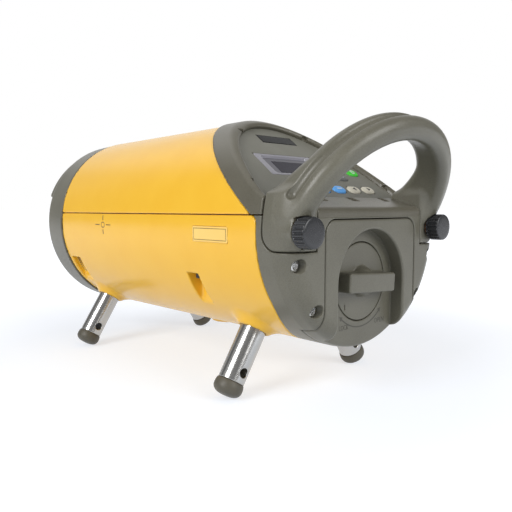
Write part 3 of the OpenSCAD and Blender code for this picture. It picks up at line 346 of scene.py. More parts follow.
def work(tree, operation, first, second=0.0):
    """One or two numbers worked into one by a math node."""
    node = tree.nodes.new("ShaderNodeMath")
    node.operation = operation
    for socket, value in zip(node.inputs, (first, second)):
        if isinstance(value, (int, float)):
            socket.default_value = value
        else:
            tree.links.new(value, socket)
    return node.outputs[0]


def shader(name, **values):
    """A material with its main shader, and that shader's plain values set."""
    material = bpy.data.materials.new(name)
    material.use_nodes = True
    main = material.node_tree.nodes["Principled BSDF"]
    plug(material.node_tree, main, **values)
    return material, material.node_tree, main


def noise(tree, scale, detail, stretch=None):
    """A noise pattern on the piece's own coordinates; scale is in patches per metre."""
    where = wire(tree, "ShaderNodeTexCoord", "Object")
    if stretch:
        where = wire(tree, "ShaderNodeMapping", Vector=where, Scale=stretch)
    return wire(tree, "ShaderNodeTexNoise", "Fac", Vector=where, Scale=scale, Detail=detail)


def spread(tree, source, low, high, start=0.3, end=0.7):
    """A pattern spread between two numbers."""
    return wire(tree, "ShaderNodeMapRange", "Result", Value=source, From_Min=start, From_Max=end,
                To_Min=low, To_Max=high)


def tint(tree, source, low, high, start=0.3, end=0.7):
    """A pattern spread between two colours."""
    node = wire(tree, "ShaderNodeValToRGB", None, Fac=source)
    for stop, position, colour in zip(node.color_ramp.elements, (start, end), (low, high)):
        stop.position = position
        stop.color = (*colour, 1)
    return node.outputs["Color"]


def bump(tree, source, depth, strength):
    """Relief of a depth in metres from a pattern."""
    return wire(tree, "ShaderNodeBump", "Normal", Height=source, Distance=depth, Strength=strength)


def grained(name, low, high, rough, grain, depth, strength=1.0, pebbled=False):
    """Moulded plastic or rubber: a fine grain, a little colour drift and uneven gloss.

    The colour of pebbled plastic follows its grain as well.
    """
    material, tree, main = shader(name)
    fine = noise(tree, grain, 3)
    if pebbled:
        drift = work(tree, "ADD", work(tree, "MULTIPLY", noise(tree, 40, 2), 0.45),
                     work(tree, "MULTIPLY", fine, 0.55))
        colour = tint(tree, drift, low, high, 0.34, 0.66)
    else:
        colour = tint(tree, noise(tree, 55, 3), low, high)
    plug(tree, main, Base_Color=colour, Roughness=spread(tree, fine, *rough),
         Normal=bump(tree, fine, depth, strength))
    return material


# Roughness from and to, grains per metre and depth of grain in metres
KEY_RUBBER = ((0.35, 0.45), 2500, 0.00003)
INK = ((0.45, 0.55), 2500, 0.00002)
PEBBLES = ((0.30, 0.42), 1700, 0.00008)
YELLOW = grained("yellow_shell_plastic", (0.87, 0.485, 0.030), (0.89, 0.51, 0.036),
                 (0.20, 0.27), 1300, 0.00002, 0.25)
GREY = grained("grey_case_plastic", (0.104, 0.098, 0.073), (0.148, 0.141, 0.108),
               *PEBBLES, 0.45, pebbled=True)
# The bezel: the grey case plastic made darker and browner, a painted shade and a painted reflection
# of the yellow shell
SHADED_BEZEL = grained("bezel_plastic_painted_shade", (0.086, 0.079, 0.056), (0.124, 0.115, 0.086),
                *PEBBLES, 0.4, pebbled=True)
PANEL = grained("panel_film", (0.158, 0.155, 0.127), (0.176, 0.173, 0.145),
                (0.42, 0.5), 2200, 0.00003, 0.4)
BLACK = grained("black_knob_plastic", (0.018, 0.019, 0.021), (0.026, 0.027, 0.030),
                (0.20, 0.30), 1800, 0.00001, 0.2)
RUBBER = grained("foot_rubber", (0.075, 0.068, 0.050), (0.098, 0.090, 0.068),
                 (0.42, 0.55), 1500, 0.00005, 0.5)
SEAL = grained("black_seal_rubber", (0.012, 0.012, 0.012), (0.02, 0.02, 0.02),
               (0.6, 0.75), 1400, 0.00005, 0.5)
GREEN_KEY = grained("green_key_rubber", (0.035, 0.50, 0.02), (0.05, 0.58, 0.03), *KEY_RUBBER)
BLUE_KEY = grained("blue_key_rubber", (0.09, 0.36, 0.84), (0.12, 0.41, 0.88), *KEY_RUBBER)
WHITE_KEY = grained("white_key_rubber", (0.62, 0.58, 0.47), (0.68, 0.64, 0.53), *KEY_RUBBER)
GREY_KEY = grained("grey_key_rubber", (0.12, 0.123, 0.118), (0.145, 0.148, 0.142), *KEY_RUBBER)
DARK_INK = grained("dark_key_ink", (0.045, 0.042, 0.036), (0.06, 0.056, 0.048), *INK)
PALE_INK = grained("pale_key_ink", (0.62, 0.63, 0.64), (0.70, 0.71, 0.72), *INK)
MARK = grained("moulded_mark_paint", (0.060, 0.057, 0.045), (0.075, 0.071, 0.056),
               (0.5, 0.6), 2500, 0.00002)
OCHRE = grained("sight_mark_paint", (0.20, 0.105, 0.012), (0.25, 0.135, 0.018), *INK)
LABEL = grained("label_film", (0.91, 0.60, 0.15), (0.93, 0.64, 0.18), (0.3, 0.36), 900, 0.00002)
WASHER = grained("orange_washer", (0.42, 0.13, 0.03), (0.5, 0.17, 0.04), (0.4, 0.5), 1500, 0.00003)
BOARD = grained("circuit_board", (0.015, 0.13, 0.05), (0.02, 0.17, 0.07),
                (0.35, 0.45), 900, 0.00003)
CELL = grained("cell_wrap", (0.02, 0.02, 0.025), (0.03, 0.03, 0.04), (0.25, 0.35), 300, 0.00002)
INNER = grained("inner_plastic", (0.03, 0.03, 0.032), (0.04, 0.04, 0.043),
                (0.5, 0.6), 1200, 0.00006)


def metal(name, low, high, rough, grain, depth, metallic=1.0, stretch=(1, 1, 1)):
    """Turned or machined metal, with fine tool marks."""
    material, tree, main = shader(name, Metallic=metallic)
    marks = noise(tree, grain, 2, stretch)
    plug(tree, main, Base_Color=tint(tree, noise(tree, 60, 3), low, high),
         Roughness=spread(tree, marks, *rough), Normal=bump(tree, marks, depth, 0.3))
    return material


STEEL = metal("stainless_leg_steel", (0.46, 0.455, 0.445), (0.52, 0.515, 0.50),
              (0.20, 0.215), 220, 0.000004)
SCREW = metal("screw_steel", (0.66, 0.66, 0.655), (0.74, 0.74, 0.73), (0.18, 0.3), 900, 0.00002)
# Near-black steel for the screws in the side recesses
DARK_SCREW = metal("dark_recess_screw_steel", (0.03, 0.03, 0.032), (0.045, 0.045, 0.047),
                   (0.4, 0.5), 900, 0.00002, 0.6)
ALLOY = metal("machined_alloy", (0.66, 0.66, 0.67), (0.72, 0.72, 0.73),
              (0.3, 0.42), 900, 0.00003, stretch=(1, 3, 1))
DARK_ALLOY = metal("black_anodised_alloy", (0.05, 0.05, 0.055), (0.07, 0.07, 0.075),
                   (0.35, 0.45), 900, 0.00003, 0.8)
BRASS = metal("turned_brass", (0.60, 0.43, 0.17), (0.70, 0.51, 0.22),
              (0.22, 0.34), 900, 0.00003, stretch=(3, 3, 1))


def clear_pane(name):
    """Coated clear glass with the faintest smear."""
    material, tree, main = shader(name, Base_Color=(0.93, 0.97, 0.96, 1), Transmission_Weight=1.0)
    plug(tree, main, IOR=1.5, Roughness=spread(tree, noise(tree, 40, 2), 0.02, 0.06))
    return material


def dark_pane(name, low, high, rough, gloss):
    """A dark glossy window."""
    material, tree, main = shader(name, Coat_Weight=gloss, Coat_Roughness=0.08)
    plug(tree, main, Base_Color=tint(tree, noise(tree, 30, 2), low, high),
         Roughness=spread(tree, noise(tree, 120, 2), *rough), Specular_IOR_Level=gloss)
    return material


GLASS = clear_pane("coated_glass")
SENSOR = dark_pane("sensor_window", (0.006, 0.006, 0.006), (0.012, 0.012, 0.012), (0.1, 0.2), 0.12)
SCREEN = dark_pane("display_glass", (0.115, 0.112, 0.128), (0.14, 0.136, 0.155), (0.1, 0.16), 0.3)
SCREEN_FIELD = dark_pane("display_crystal", (0.018, 0.016, 0.026), (0.028, 0.026, 0.038),
                         (0.1, 0.16), 0.15)
SCREEN_FRAME = dark_pane("display_frame", (0.25, 0.243, 0.275), (0.31, 0.302, 0.335),
                         (0.12, 0.2), 0.4)


# Camera, light and floor

def photo_camera():
    """The view that the photograph's outlines gave."""
    lens = bpy.data.cameras.new("photo_camera")
    lens.sensor_width = 36
    lens.lens = 39.67
    lens.clip_start = 0.01
    camera = bpy.data.objects.new("photo_camera", lens)
    camera.location = to_frame([-235.97, -190.7, 11.14])
    camera.rotation_euler = (radians(85.14), radians(0.12), radians(-42.62))
    bpy.context.scene.collection.objects.link(camera)
    bpy.context.scene.camera = camera


def soft_lamp(name, place, aim, width, height, watts):
    lamp = bpy.data.lights.new(name, "AREA")
    lamp.shape = "RECTANGLE"
    lamp.size, lamp.size_y, lamp.energy = width, height, watts
    light = bpy.data.objects.new(name, lamp)
    light.location = place
    light.rotation_euler = (Vector(aim) - Vector(place)).to_track_quat("-Z", "Y").to_euler()
    bpy.context.scene.collection.objects.link(light)


# Soft light at the sides and from above, and what gloss sees: the walls, and panels by aim and edge
ROOM_LIGHT = (0.44, 0.20)
WALL_GLOSS = (0.16, 0.5)
GLOSS_PANELS = (((0.68, 0.73, 0.05), 0.62, 0.86), ((0.1, 0.73, 0.66), 0.86, 0.97))

# Floor: colours, brightness near the object, metres where it fades to white, and light it gives
FLOOR_COLOUR = (0.40, 0.44, 0.485, 1)
FLOOR_WHITE = (1, 1, 1.03, 1)
FLOOR_SEEN = 0.64
FLOOR_FADE = (0.16, 0.48)
FLOOR_GLOW = 0.34


def studio_room():
    """White walls, seen by the camera and through glass, and a softer light for all the rest.

    Gloss sees a backdrop panel, a ceiling panel and walls with dark gaps between the lamps.
    """
    world = bpy.data.worlds.new("studio_room")
    bpy.context.scene.world = world
    world.use_nodes = True
    tree = world.node_tree
    back = tree.nodes["Background"]
    path = tree.nodes.new("ShaderNodeLightPath")
    where = wire(tree, "ShaderNodeTexCoord", "Generated")
    x, y, z = wire(tree, "ShaderNodeSeparateXYZ", None, Vector=where).outputs
    gaps = wire(tree, "ShaderNodeTexNoise", None, Scale=2.6, Detail=1.0)
    gaps.noise_dimensions = "1D"
    plug(tree, gaps, W=work(tree, "ARCTAN2", y, x))
    gloss_view = spread(tree, gaps.outputs["Fac"], *WALL_GLOSS, 0.44, 0.56)
    for aim, start, end in GLOSS_PANELS:
        facing = tree.nodes.new("ShaderNodeVectorMath")
        facing.operation = "DOT_PRODUCT"
        facing.inputs[1].default_value = aim
        tree.links.new(where, facing.inputs[0])
        panel = spread(tree, facing.outputs["Value"], 0.0, 1.0, start, end)
        gloss_view = work(tree, "MAXIMUM", gloss_view, panel)
    seen = work(tree, "MAXIMUM", path.outputs["Is Camera Ray"], path.outputs["Is Transmission Ray"])
    soft = spread(tree, z, *ROOM_LIGHT, 0.0, 0.8)
    unseen = work(tree, "SUBTRACT", 1.0, work(tree, "MAXIMUM", seen, path.outputs["Is Glossy Ray"]))
    gloss = work(tree, "MULTIPLY", path.outputs["Is Glossy Ray"], gloss_view)
    lit = work(tree, "ADD", work(tree, "MULTIPLY", soft, unseen), gloss)
    plug(tree, back, Color=(1, 1, 1, 1), Strength=work(tree, "MAXIMUM", lit, seen))


def studio_floor():
    """A pale floor that keeps the shadow and fades to white away from the object."""
    material, tree, main = shader("studio_floor", Roughness=0.9, Specular_IOR_Level=0.0,
                                  Base_Color=FLOOR_COLOUR, Emission_Color=FLOOR_WHITE)
    path = tree.nodes.new("ShaderNodeLightPath")
    reach = tree.nodes.new("ShaderNodeVectorMath")
    reach.operation = "LENGTH"
    tree.links.new(wire(tree, "ShaderNodeTexCoord", "Object"), reach.inputs[0])
    fade = spread(tree, reach.outputs["Value"], FLOOR_SEEN, 1.0, *FLOOR_FADE)
    seen = work(tree, "MAXIMUM", path.outputs["Is Camera Ray"], path.outputs["Is Glossy Ray"])
    seen = work(tree, "MAXIMUM", seen, path.outputs["Is Transmission Ray"])
    glow = work(tree, "MAXIMUM", work(tree, "MULTIPLY", seen, fade), FLOOR_GLOW)
    plug(tree, main, Emission_Strength=glow)
    bpy.ops.mesh.primitive_plane_add(size=60)
    floor = bpy.context.object
    floor.name = "studio_floor"
    floor.data.materials.append(material)


def studio():
    bpy.context.scene.view_settings.view_transform = "Standard"
    studio_room()
    studio_floor()
    soft_lamp("top_softbox", (-0.15, 0.25, 1.0), (0, 0, 0.08), 0.9, 0.9, 1.1)
    soft_lamp("left_softbox", (-1.05, -0.1, 0.6), (0, 0, 0.09), 0.5, 0.5, 8.4)
    soft_lamp("rear_softbox", (0.15, -1.05, 0.6), (0, -0.05, 0.09), 0.75, 0.7, 7.4)


photo_camera()
studio()


# Yellow shells

def leg_frame(x, y, z, side, along):
    """Distance out along a leg, and distance from its axis."""
    out = side * x * sin(LEG_ANGLE) - z * cos(LEG_ANGLE)
    across = side * x * cos(LEG_ANGLE) + z * sin(LEG_ANGLE)
    return out, np.hypot(across, y - along)


def lower_edge(y, z):
    """The lower shell's rear and upper edges: a round upper corner, and cut away over the chin."""
    chin = -0.8455 * (y - 0.2) - 0.534 * (z + 42.0)
    return meet(meet(0.2 - y, chin, 5.0), z - BELOW_SEAM, 4.3)


def slope_height(y, z, through):
    """Height over the control panel's slope through a place in y and z."""
    return (z - through[1]) * cos(SLOPE) - (y - through[0]) * sin(SLOPE)


def label_outline(y, z, grow):
    return plate(y - 34.5, z + 2.0, 14.25 + grow, 4.0 + grow, 1.1)


def lower_shell_field(x, y, z):
    r = np.hypot(x, z)
    wall = within(r - BODY_R, INNER_R - r)
    sides = np.abs(x)
    for recess_y, half in RECESS_SPOTS:
        pocket = within(43.0 - sides, np.abs(y - recess_y) - half - 2.0, z + 21.8)
        wall = np.minimum(wall, within(pocket, r - 59.5))
    pad = within(np.hypot(x, y - INSERT_Y) - 11.1, -61.8 - z, z + 52.0)
    wall = join(wall, pad, 1.6)
    for side, along in LEG_SPOTS.values():
        out, off = leg_frame(x, y, z, side, along)
        cone = (off - 8.9 - 0.766 * (COLLAR_END - out)) * 0.794
        collar = meet(meet(cone, out - COLLAR_END, 1.0), 56.0 - out, 0.5)
        wall = join(wall, collar, 3.0)
    wall = meet(wall, lower_edge(y, z), 0.5)
    wall = meet(wall, y - SHELL_LEN, 0.5)
    for side, along in LEG_SPOTS.values():
        out, off = leg_frame(x, y, z, side, along)
        wall = carve(wall, within(off - 7.35, 52.0 - out), 0.6)
    for recess_y, half in RECESS_SPOTS:
        recess = within(plate(sides - 70.0, y - recess_y, 25.0, half, 1.6), z - RECESS_TOP)
        wall = carve(wall, recess, 0.8)
    wall = carve(wall, within(np.hypot(x, y - INSERT_Y) - 9.54, z + 48.9), 0.4)
    return cut(wall, within(label_outline(y, z, 0.05), 60.25 - r, x))


def upper_shell_field(x, y, z):
    r = np.hypot(x, z - CROWN)
    wall = within(r - BODY_R, INNER_R - r)
    rib = meet(meet(plate(x, y - 150.0, 1.2, 21.0, 1.1), z - 63.55, 0.6), 60.2 - z, 0.1)
    wall = join(wall, rib, 1.2)
    wall = meet(wall, ABOVE_SEAM - z, 0.5)
    wall = meet(wall, y - SHELL_LEN, 0.5)
    return meet(wall, slope_height(y, z, (4.5, ABOVE_SEAM)), 0.5)


moulded("lower_shell_skin", lower_shell_field, (-63, -1.5, -64.5), (63, 209.5, 9.5), 1.08,
        YELLOW, "body", "yellow_shell", "lower_shell")
moulded("upper_shell_skin", upper_shell_field, (-63, 3, 7), (63, 209.5, 65), 1.0,
        YELLOW, "body", "yellow_shell", "upper_shell")


# Label and sight mark on the left side

def label_field(x, y, z):
    return meet(label_outline(y, z, 0.0), np.abs(np.hypot(x, z) - 60.65) - 0.37, 0.15)


def label_border_field(x, y, z):
    line = np.abs(label_outline(y, z, 0.0) + 1.1) - 0.2
    return within(line, np.abs(np.hypot(x, z) - 60.95) - 0.1)


def sight_mark_field(x, y, z):
    along, up = y - 146.3, z - 0.6
    ring = np.abs(plate(along, up, 2.0, 1.6, 1.3)) - 0.34
    level = plate(np.abs(along) - 7.2, up, 3.0, 0.36, 0.3)
    upright = plate(along, np.abs(up) - 4.5, 0.55, 1.6, 0.3)
    mark = np.minimum(ring, np.minimum(level, upright))
    return within(mark, np.abs(np.hypot(x, z) - 60.92) - 0.12)


moulded("label_film", label_field, (-61.2, 19.5, -6.8), (-59.3, 49.5, 2.8), 0.24,
        LABEL, "body", "label", "label_plate")
moulded("label_border", label_border_field, (-61.2, 20.2, -6.1), (-60.3, 48.8, 2.1), 0.1,
        OCHRE, "body", "label")
moulded("sight_mark", sight_mark_field, (-61.2, 134.5, -6.8), (-60.3, 157.5, 6.8), 0.12,
        OCHRE, "body", "label")


# Rear housing, bezel and handle

def rear_outline(x, y, z, edge, lift=0.0):
    """The round outside of the rear, drawn in a little and rounded at its edge."""
    r = np.hypot(x, z - lift)
    taper = (r - BODY_R - (y + 10.0) * (1.5 / 9.0)) * 0.986
    return meet(within(r - BODY_R, taper), REAR_Y - y, edge)


def pad_room(x, y, z, gap):
    """The room of the handle's pads at both sides."""
    profile = meet(y - PAD_Y - gap, PAD_LOW - gap - z, PAD_ROUND + gap)
    return within(profile, PAD_X - gap - np.abs(x))


def off_thumb(x, z):
    """Distance from the axis of the nearer thumb screw."""
    return np.hypot(np.abs(x) - THUMB[0], z - THUMB[1])


def door_shape(x, z, grow):
    """The battery door's outline seen from the rear."""
    upper = meet(np.abs(x) - 37.0, z - 5.5, 7.0)
    return join(upper, z + 49.75, 4.0) - grow


def rear_housing_field(x, y, z):
    r = np.hypot(x, z)
    shape = within(rear_outline(x, y, z, REAR_EDGE), z - BELOW_SEAM, y - 13.0)
    shape = meet(shape, CASE_GAP - lower_edge(y, z), 0.4)
    shape = cut(shape, within(r - CAVITY_R, -y))
    shape = cut(shape, within(np.abs(x) - 38.0, -46.1 - z, r - CAVITY_R, -12.0 - y))
    shape = carve(shape, within(door_shape(x, z, CASE_GAP), y + 7.5), 0.7)
    shape = cut(shape, within(np.abs(x) - PAD_X, 6.8 - z))
    shape = carve(shape, pad_room(x, y, z, CASE_GAP), 0.6)
    for px, pz in REAR_SCREWS:
        shape = carve(shape, within(np.hypot(x - px, z - pz) - 3.15, y + 14.6), 0.25)
    return within(shape, THUMB_HOLE - off_thumb(x, z))


def line_height(y, z, a, b):
    """Height over a straight line through two places in y and z."""
    length = np.hypot(b[0] - a[0], b[1] - a[1])
    return ((z - a[1]) * (b[0] - a[0]) - (y - a[0]) * (b[1] - a[1])) / length


# Drain notches in the bezel: across and up the panel, half width and half height
DRAINS = ((-26.8, 63.4, 1.8, 1.3), (25.8, 64.2, 1.8, 1.3), (-53.4, 13.2, 1.6, 1.8),
          (53.4, 13.2, 1.6, 1.8), (-23.5, -3.0, 2.3, 3.4), (2.0, -3.0, 2.3, 3.4),
          (29.2, -3.0, 2.3, 3.4))


def panel_frame_field(x, y, z):
    break_at = (-16.5, 14.6)
    band = meet(line_height(y, z, (REAR_Y, 12.0), break_at),
                line_height(y, z, break_at, CREST), 6.0)
    above = slope_height(y, z, CREST)
    shape = meet(rear_outline(x, y, z, 3.0, BEZEL_UP), join(band, above, 3.0), 2.6)
    shape = meet(shape, -slope_height(y, z, (4.1, ABOVE_SEAM)), 0.5)
    foot = np.minimum(ABOVE_SEAM - z, within(np.abs(x) - PAD_X, 6.0 - z))
    shape = meet(shape, foot, 0.4)
    shape = within(shape, np.where(z < ABOVE_SEAM, y - PAD_Y, WELL_INSIDE))
    r = np.hypot(x, z - BEZEL_UP)
    up = (y - CREST[0]) * cos(SLOPE) + (z - CREST[1]) * sin(SLOPE)
    rise = np.maximum(above + PANEL_DEEP, 0)
    sides = within((r - 55.95 - 0.62 * rise) * 0.86, (2.1 - 0.6 * rise - up) * 0.86)
    shape = carve(shape, meet(sides, -5.6 - above, 0.2), 1.7)
    for u, v, half_u, half_v in DRAINS:
        notch = within(plate(x - u, up - v, half_u, half_v, 0.3), -2.4 - above)
        shape = cut(shape, notch)
    shape = cut(shape, within(r - 53.8, 4.2 - up))
    shape = carve(shape, pad_room(x, y, z, CASE_GAP), 0.6)
    return within(shape, THUMB_HOLE - off_thumb(x, z))


# The handle's arch: a round top on two tighter shoulders
ARCH_SHIFT = 5.463
ARCH_TOP_R = 53.76
ARCH_SIDE_R = 46.04


def handle_field(x, y, z):
    lean = radians(31.0)
    dy, dz = y + 15.3, z - 7.8
    up = -dy * sin(lean) + dz * cos(lean)
    fore = dy * cos(lean) + dz * sin(lean)
    sides = np.abs(x)
    on_top = sides < up + ARCH_SHIFT
    ring = np.where(on_top, np.hypot(sides, up + ARCH_SHIFT) - ARCH_TOP_R,
                    np.hypot(sides - ARCH_SHIFT, np.maximum(up, 0)) - ARCH_SIDE_R)
    turn = radians(14.0)
    u = ring * cos(turn) + fore * sin(turn)
    v = -ring * sin(turn) + fore * cos(turn)
    flare = np.where(up < 27.0, 0.42 * (27.0 - up) ** 2 / np.maximum(33.0 - up, 1.0), 0)
    arch = meet(plate(u, v - np.clip(v, 0, flare), 5.7, 9.0, 5.0), -up - 1.0, 2.0)
    arch = meet(arch, y + 4.1, 1.0)
    pad = meet(meet(y - PAD_Y, PAD_LOW - z, PAD_ROUND), meet(PAD_X - sides, z - 18.5, 1.0), 0.8)
    pad = meet(pad, rear_outline(x, y, z, 8.0), 1.2)
    shape = join(arch, pad, 5.0)
    off = off_thumb(x, z)
    cone = (off - 6.4 + 0.25 * (y - THUMB_FACE_Y)) * 0.97
    boss = meet(meet(cone, THUMB_FACE_Y - y, 0.8), y + 8.0, 0.5)
    shape = join(shape, boss, 2.0)
    sweep = np.where(on_top, 0, np.degrees(np.arctan2(sides - ARCH_SHIFT, up)))
    past = np.maximum(sweep - 78.0, 0) * radians(1) * 46.0
    groove = np.where(up > 0, np.hypot(np.hypot(u - 6.9, v), past) - 3.0, 9.0)
    shape = carve(shape, groove, 0.6)
    near_body = np.hypot(x, z) - BODY_R - 0.6 * np.maximum(z - 10.0, 0)
    shape = within(shape, np.where(y > REAR_Y, near_body, WELL_INSIDE))
    shape = cut(shape, within(off - 7.5, y - THUMB_FACE_Y))
    return within(shape, THUMB_HOLE - off)


moulded("rear_housing_skin", rear_housing_field, (-62.5, -23.5, -62.5), (62.5, 14, 9.5), 0.6,
        GREY, "body", "grey_case", "rear_housing")
moulded("bezel_skin", panel_frame_field, (-62.5, -23.5, 4.5), (62.5, 78, 65), 0.75,
        SHADED_BEZEL, "body", "grey_case", "panel_frame")
moulded("handle_skin", handle_field, (-62.5, -52.5, -10.5), (62.5, -2.5, 62), 0.6,
        GREY, "handle", "grey_case", "handle")


# Front cap with its hood and window ring

def front_cap_field(x, y, z):
    r = np.hypot(x, z)
    side = (r - CAP_R + (y - CAP_Y) * (0.8 / 21.8)) * 0.999
    shape = meet(meet(side, y - FRONT_Y, 8.0), CAP_Y - y, 0.4)
    bearing = np.degrees(np.arctan2(np.abs(x), z))
    edge = (bearing - 70.0) * radians(1) * HOOD_R
    hood = meet(meet(np.abs(r - HOOD_R) - 1.8, y - 242.45, 1.2), edge, 1.6)
    shape = join(shape, within(hood, 229.0 - y), 2.0)
    shape = cut(shape, within(r - CAVITY_R, y - 231.0))
    shape = cut(shape, r - 34.0)
    shape = carve(shape, within(r - 39.0, RING_SEAT_Y - y), 0.5)
    shape = cut(shape, within(r - 37.0, 233.2 - y))
    for px, pz in FRONT_SCREWS:
        shape = carve(shape, within(np.hypot(x - px, z - pz) - 3.5, 230.0 - y), 0.4)
    return shape


def window_ring_field(x, y, z):
    r = np.hypot(x, z)
    ring = meet(meet(np.abs(r - 36.15) - 2.65, y - 239.0, 0.6), RING_SEAT_Y - y, 0.2)
    ring = within(ring, (33.6 + 1.2 * (y - 237.6) - r) * 0.64)
    for turn in (45.0, 135.0):
        c, s = cos(radians(turn)), sin(radians(turn))
        ring = carve(ring, within(np.abs(x * s - z * c) - 1.6, 237.9 - y), 0.25)
    return ring


moulded("front_cap_skin", front_cap_field, (-63.5, 206.5, -63.5), (63.5, 243.5, 63.5), 0.85,
        GREY, "body", "grey_case", "front_cap")
moulded("window_ring_skin", window_ring_field, (-39.6, 235.9, -39.6), (39.6, 239.6, 39.6), 0.4,
        GREY, "body", "grey_case", "window_ring")


# Battery door, its lock and the marks round it

def battery_door_field(x, y, z):
    shape = meet(rear_outline(x, y, z, REAR_EDGE), door_shape(x, z, 0.0), 0.8)
    shape = meet(shape, y + 8.0, 0.3)
    off = np.hypot(x, z + KNOB_LOW)
    pocket = np.where(z > -KNOB_LOW, off, np.abs(x)) - 27.0
    shape = carve(shape, within(pocket, y - POCKET_Y), 1.3)
    shape = carve(shape, within(off - 20.6, y + 11.2), 0.35)
    return within(shape, 4.05 - off)


def lock_knob_field(x, y, z):
    z = z + KNOB_LOW
    off = np.hypot(x, z)
    disc = meet(meet(off - 20.2, POCKET_Y - y, 0.6), y + 11.6, 0.3)
    tilt = radians(3.6)
    u = x * cos(tilt) - z * sin(tilt)
    v = x * sin(tilt) + z * cos(tilt)
    bar = meet(plate(u, v, 19.0, 5.0, 1.6), -22.4 - y, 1.0)
    bar = within(bar, y + 12.5)
    hub = within(np.hypot(off, y - POCKET_Y) - 8.0, y + 12.5)
    shape = join(disc, join(bar, hub, 0.8), 0.8)
    shape = cut(shape, within(plate(x + 12.8, z + 12.2, 0.35, 1.5, 0.3), y + 13.6))
    return np.minimum(shape, within(off - 4.0, POCKET_Y - y, y + 7.1))


def printed_strip(name, left, right, depth, material, place):
    """A flat printed shape between two rows of points, in a frame of its own."""
    count = len(left)
    points = [(*p, h) for h in (-depth, depth) for row in (left, right) for p in row]
    a, b, c, d = (list(range(k * count, (k + 1) * count)) for k in range(4))
    faces = []
    for i, k in zip(range(count), range(1, count)):
        faces += [(a[i], b[i], b[k], a[k]), (c[i], c[k], d[k], d[i]),
                  (a[i], a[k], c[k], c[i]), (b[i], d[i], d[k], b[k])]
    faces += [(a[0], c[0], d[0], b[0]), (a[-1], b[-1], d[-1], c[-1])]
    piece = mesh_object(name, place(np.array(points)), faces, material, smooth=False)
    shape = bmesh.new()
    shape.from_mesh(piece.data)
    bmesh.ops.remove_doubles(shape, verts=shape.verts, dist=1e-7)
    bmesh.ops.dissolve_degenerate(shape, edges=shape.edges, dist=1e-7)
    bmesh.ops.recalc_face_normals(shape, faces=shape.faces)
    shape.to_mesh(piece.data)
    shape.free()
    return piece


def printed_word(name, word, height, width, depth, material, place):
    """A printed word with its middle at the origin of its own frame."""
    curve = bpy.data.curves.new(name, "FONT")
    curve.body = word
    curve.align_x, curve.align_y = "CENTER", "CENTER"
    curve.resolution_u = 3
    curve.extrude = depth
    source = link_piece(name, curve)
    mesh = finished_mesh(source)
    bpy.data.objects.remove(source)
    points = np.array([v.co for v in mesh.vertices])
    low, high = points.min(0), points.max(0)
    points[:, :2] = (points[:, :2] - (low + high)[:2] / 2) / (high - low)[:2] * (width, height)
    faces = [tuple(p.vertices) for p in mesh.polygons]
    bpy.data.meshes.remove(mesh)
    return mesh_object(name, place(points), faces, material, smooth=False)


def round_spot(radius, bearing):
    """A place round the lock, by degrees from straight down."""
    turn = radians(bearing)
    return radius * sin(turn), -radius * cos(turn)


def arc(radius, start, end):
    """Places along an arc round the lock."""
    return [round_spot(radius, bearing) for bearing in np.linspace(start, end, 40)]


def arrow_tip(start, end):
    """Both sides of an arrow's tip that narrows round the lock."""
    return ([round_spot(22.3, start), round_spot(23.6, end)],
            [round_spot(24.9, start), round_spot(23.7, end)])


moulded("battery_door_skin", battery_door_field, (-62, -23.2, -62.5), (62, -7, 7), 0.6,
        GREY, "drawer", "grey_case", "battery_door")
moulded("lock_knob_skin", lock_knob_field, (-21.5, -23.5, -48.2), (21.5, -6.2, -5.2), 0.36,
        GREY, "lock", "grey_case", "lock_knob")
for name, left, right in (
        ("turn_arrow_arc", arc(23.3, *TURN_ARROW), arc(23.95, *TURN_ARROW)),
        ("turn_arrow_left_tip", *arrow_tip(TURN_ARROW[0], -45.5)),
        ("turn_arrow_right_tip", *arrow_tip(TURN_ARROW[1], 48.5))):
    mark = printed_strip(name, left, right, PRINT_DEPTH, MARK, facing_rear(0.0, POCKET_Y, -KNOB_LOW))
    fit(mark, "drawer", "grey_case")
for name, word, width, across, up in (("lock_word", "LOCK", 7.4, -13.3, -49.2),
                                      ("open_word", "OPEN", 8.7, 16.6, -49.0)):
    mark = printed_word(name, word, 2.6, width, PRINT_DEPTH, MARK, facing_rear(across, POCKET_Y, up))
    fit(mark, "drawer", "grey_case")


# Display and keys on the control panel

def display_plate(u, v, half_u, half_v, radius):
    """A flat rectangle round the display's middle."""
    return plate(u - DISPLAY[0], v - DISPLAY[1], half_u, half_v, radius)


def display_frame_field(u, v, w):
    outer = display_plate(u, v, 22.4, 9.9, 1.4)
    inner = display_plate(u, v, 17.2, 7.2, 0.8) - 0.9 * np.clip(w + 4.2, 0, 2)
    return carve(meet(meet(outer, w + 2.9, 0.35), -4.4 - w, 0.1), inner * 0.75, 0.3)


def display_glass_field(u, v, w):
    return meet(display_plate(u, v, 18.4, 8.4, 0.8), np.abs(w + 4.25) - 0.25, 0.1)


def display_crystal_field(u, v, w):
    return meet(plate(u + 9.0, v - 33.0, 13.0, 5.3, 0.4), np.abs(w + 3.98) - 0.12, 0.05)


def sensor_field(u, v, w):
    return meet(meet(plate(u, v - 61.0, 13.95, 3.95, 0.9), w + 2.85, 0.5), -4.2 - w, 0.1)


moulded("display_frame", display_frame_field, (-32.6, 23.4, -4.9), (13.6, 44.6, -2.4), 0.22,
        SCREEN_FRAME, "body", "display", "display_window", place=on_panel)
moulded("display_glass", display_glass_field, (-28.6, 24.9, -4.9), (9.6, 43.1, -3.6), 0.2,
        SCREEN, "body", "display", place=on_panel)
moulded("display_crystal", display_crystal_field, (-22.6, 27.1, -4.4), (4.6, 38.9, -3.6), 0.12,
        SCREEN_FIELD, "body", "display", place=on_panel)
moulded("sensor_pane", sensor_field, (-14.5, 56.5, -4.7), (14.5, 65.5, -2.3), 0.2,
        SENSOR, "body", "dark_window", "sensor_window", place=on_panel)


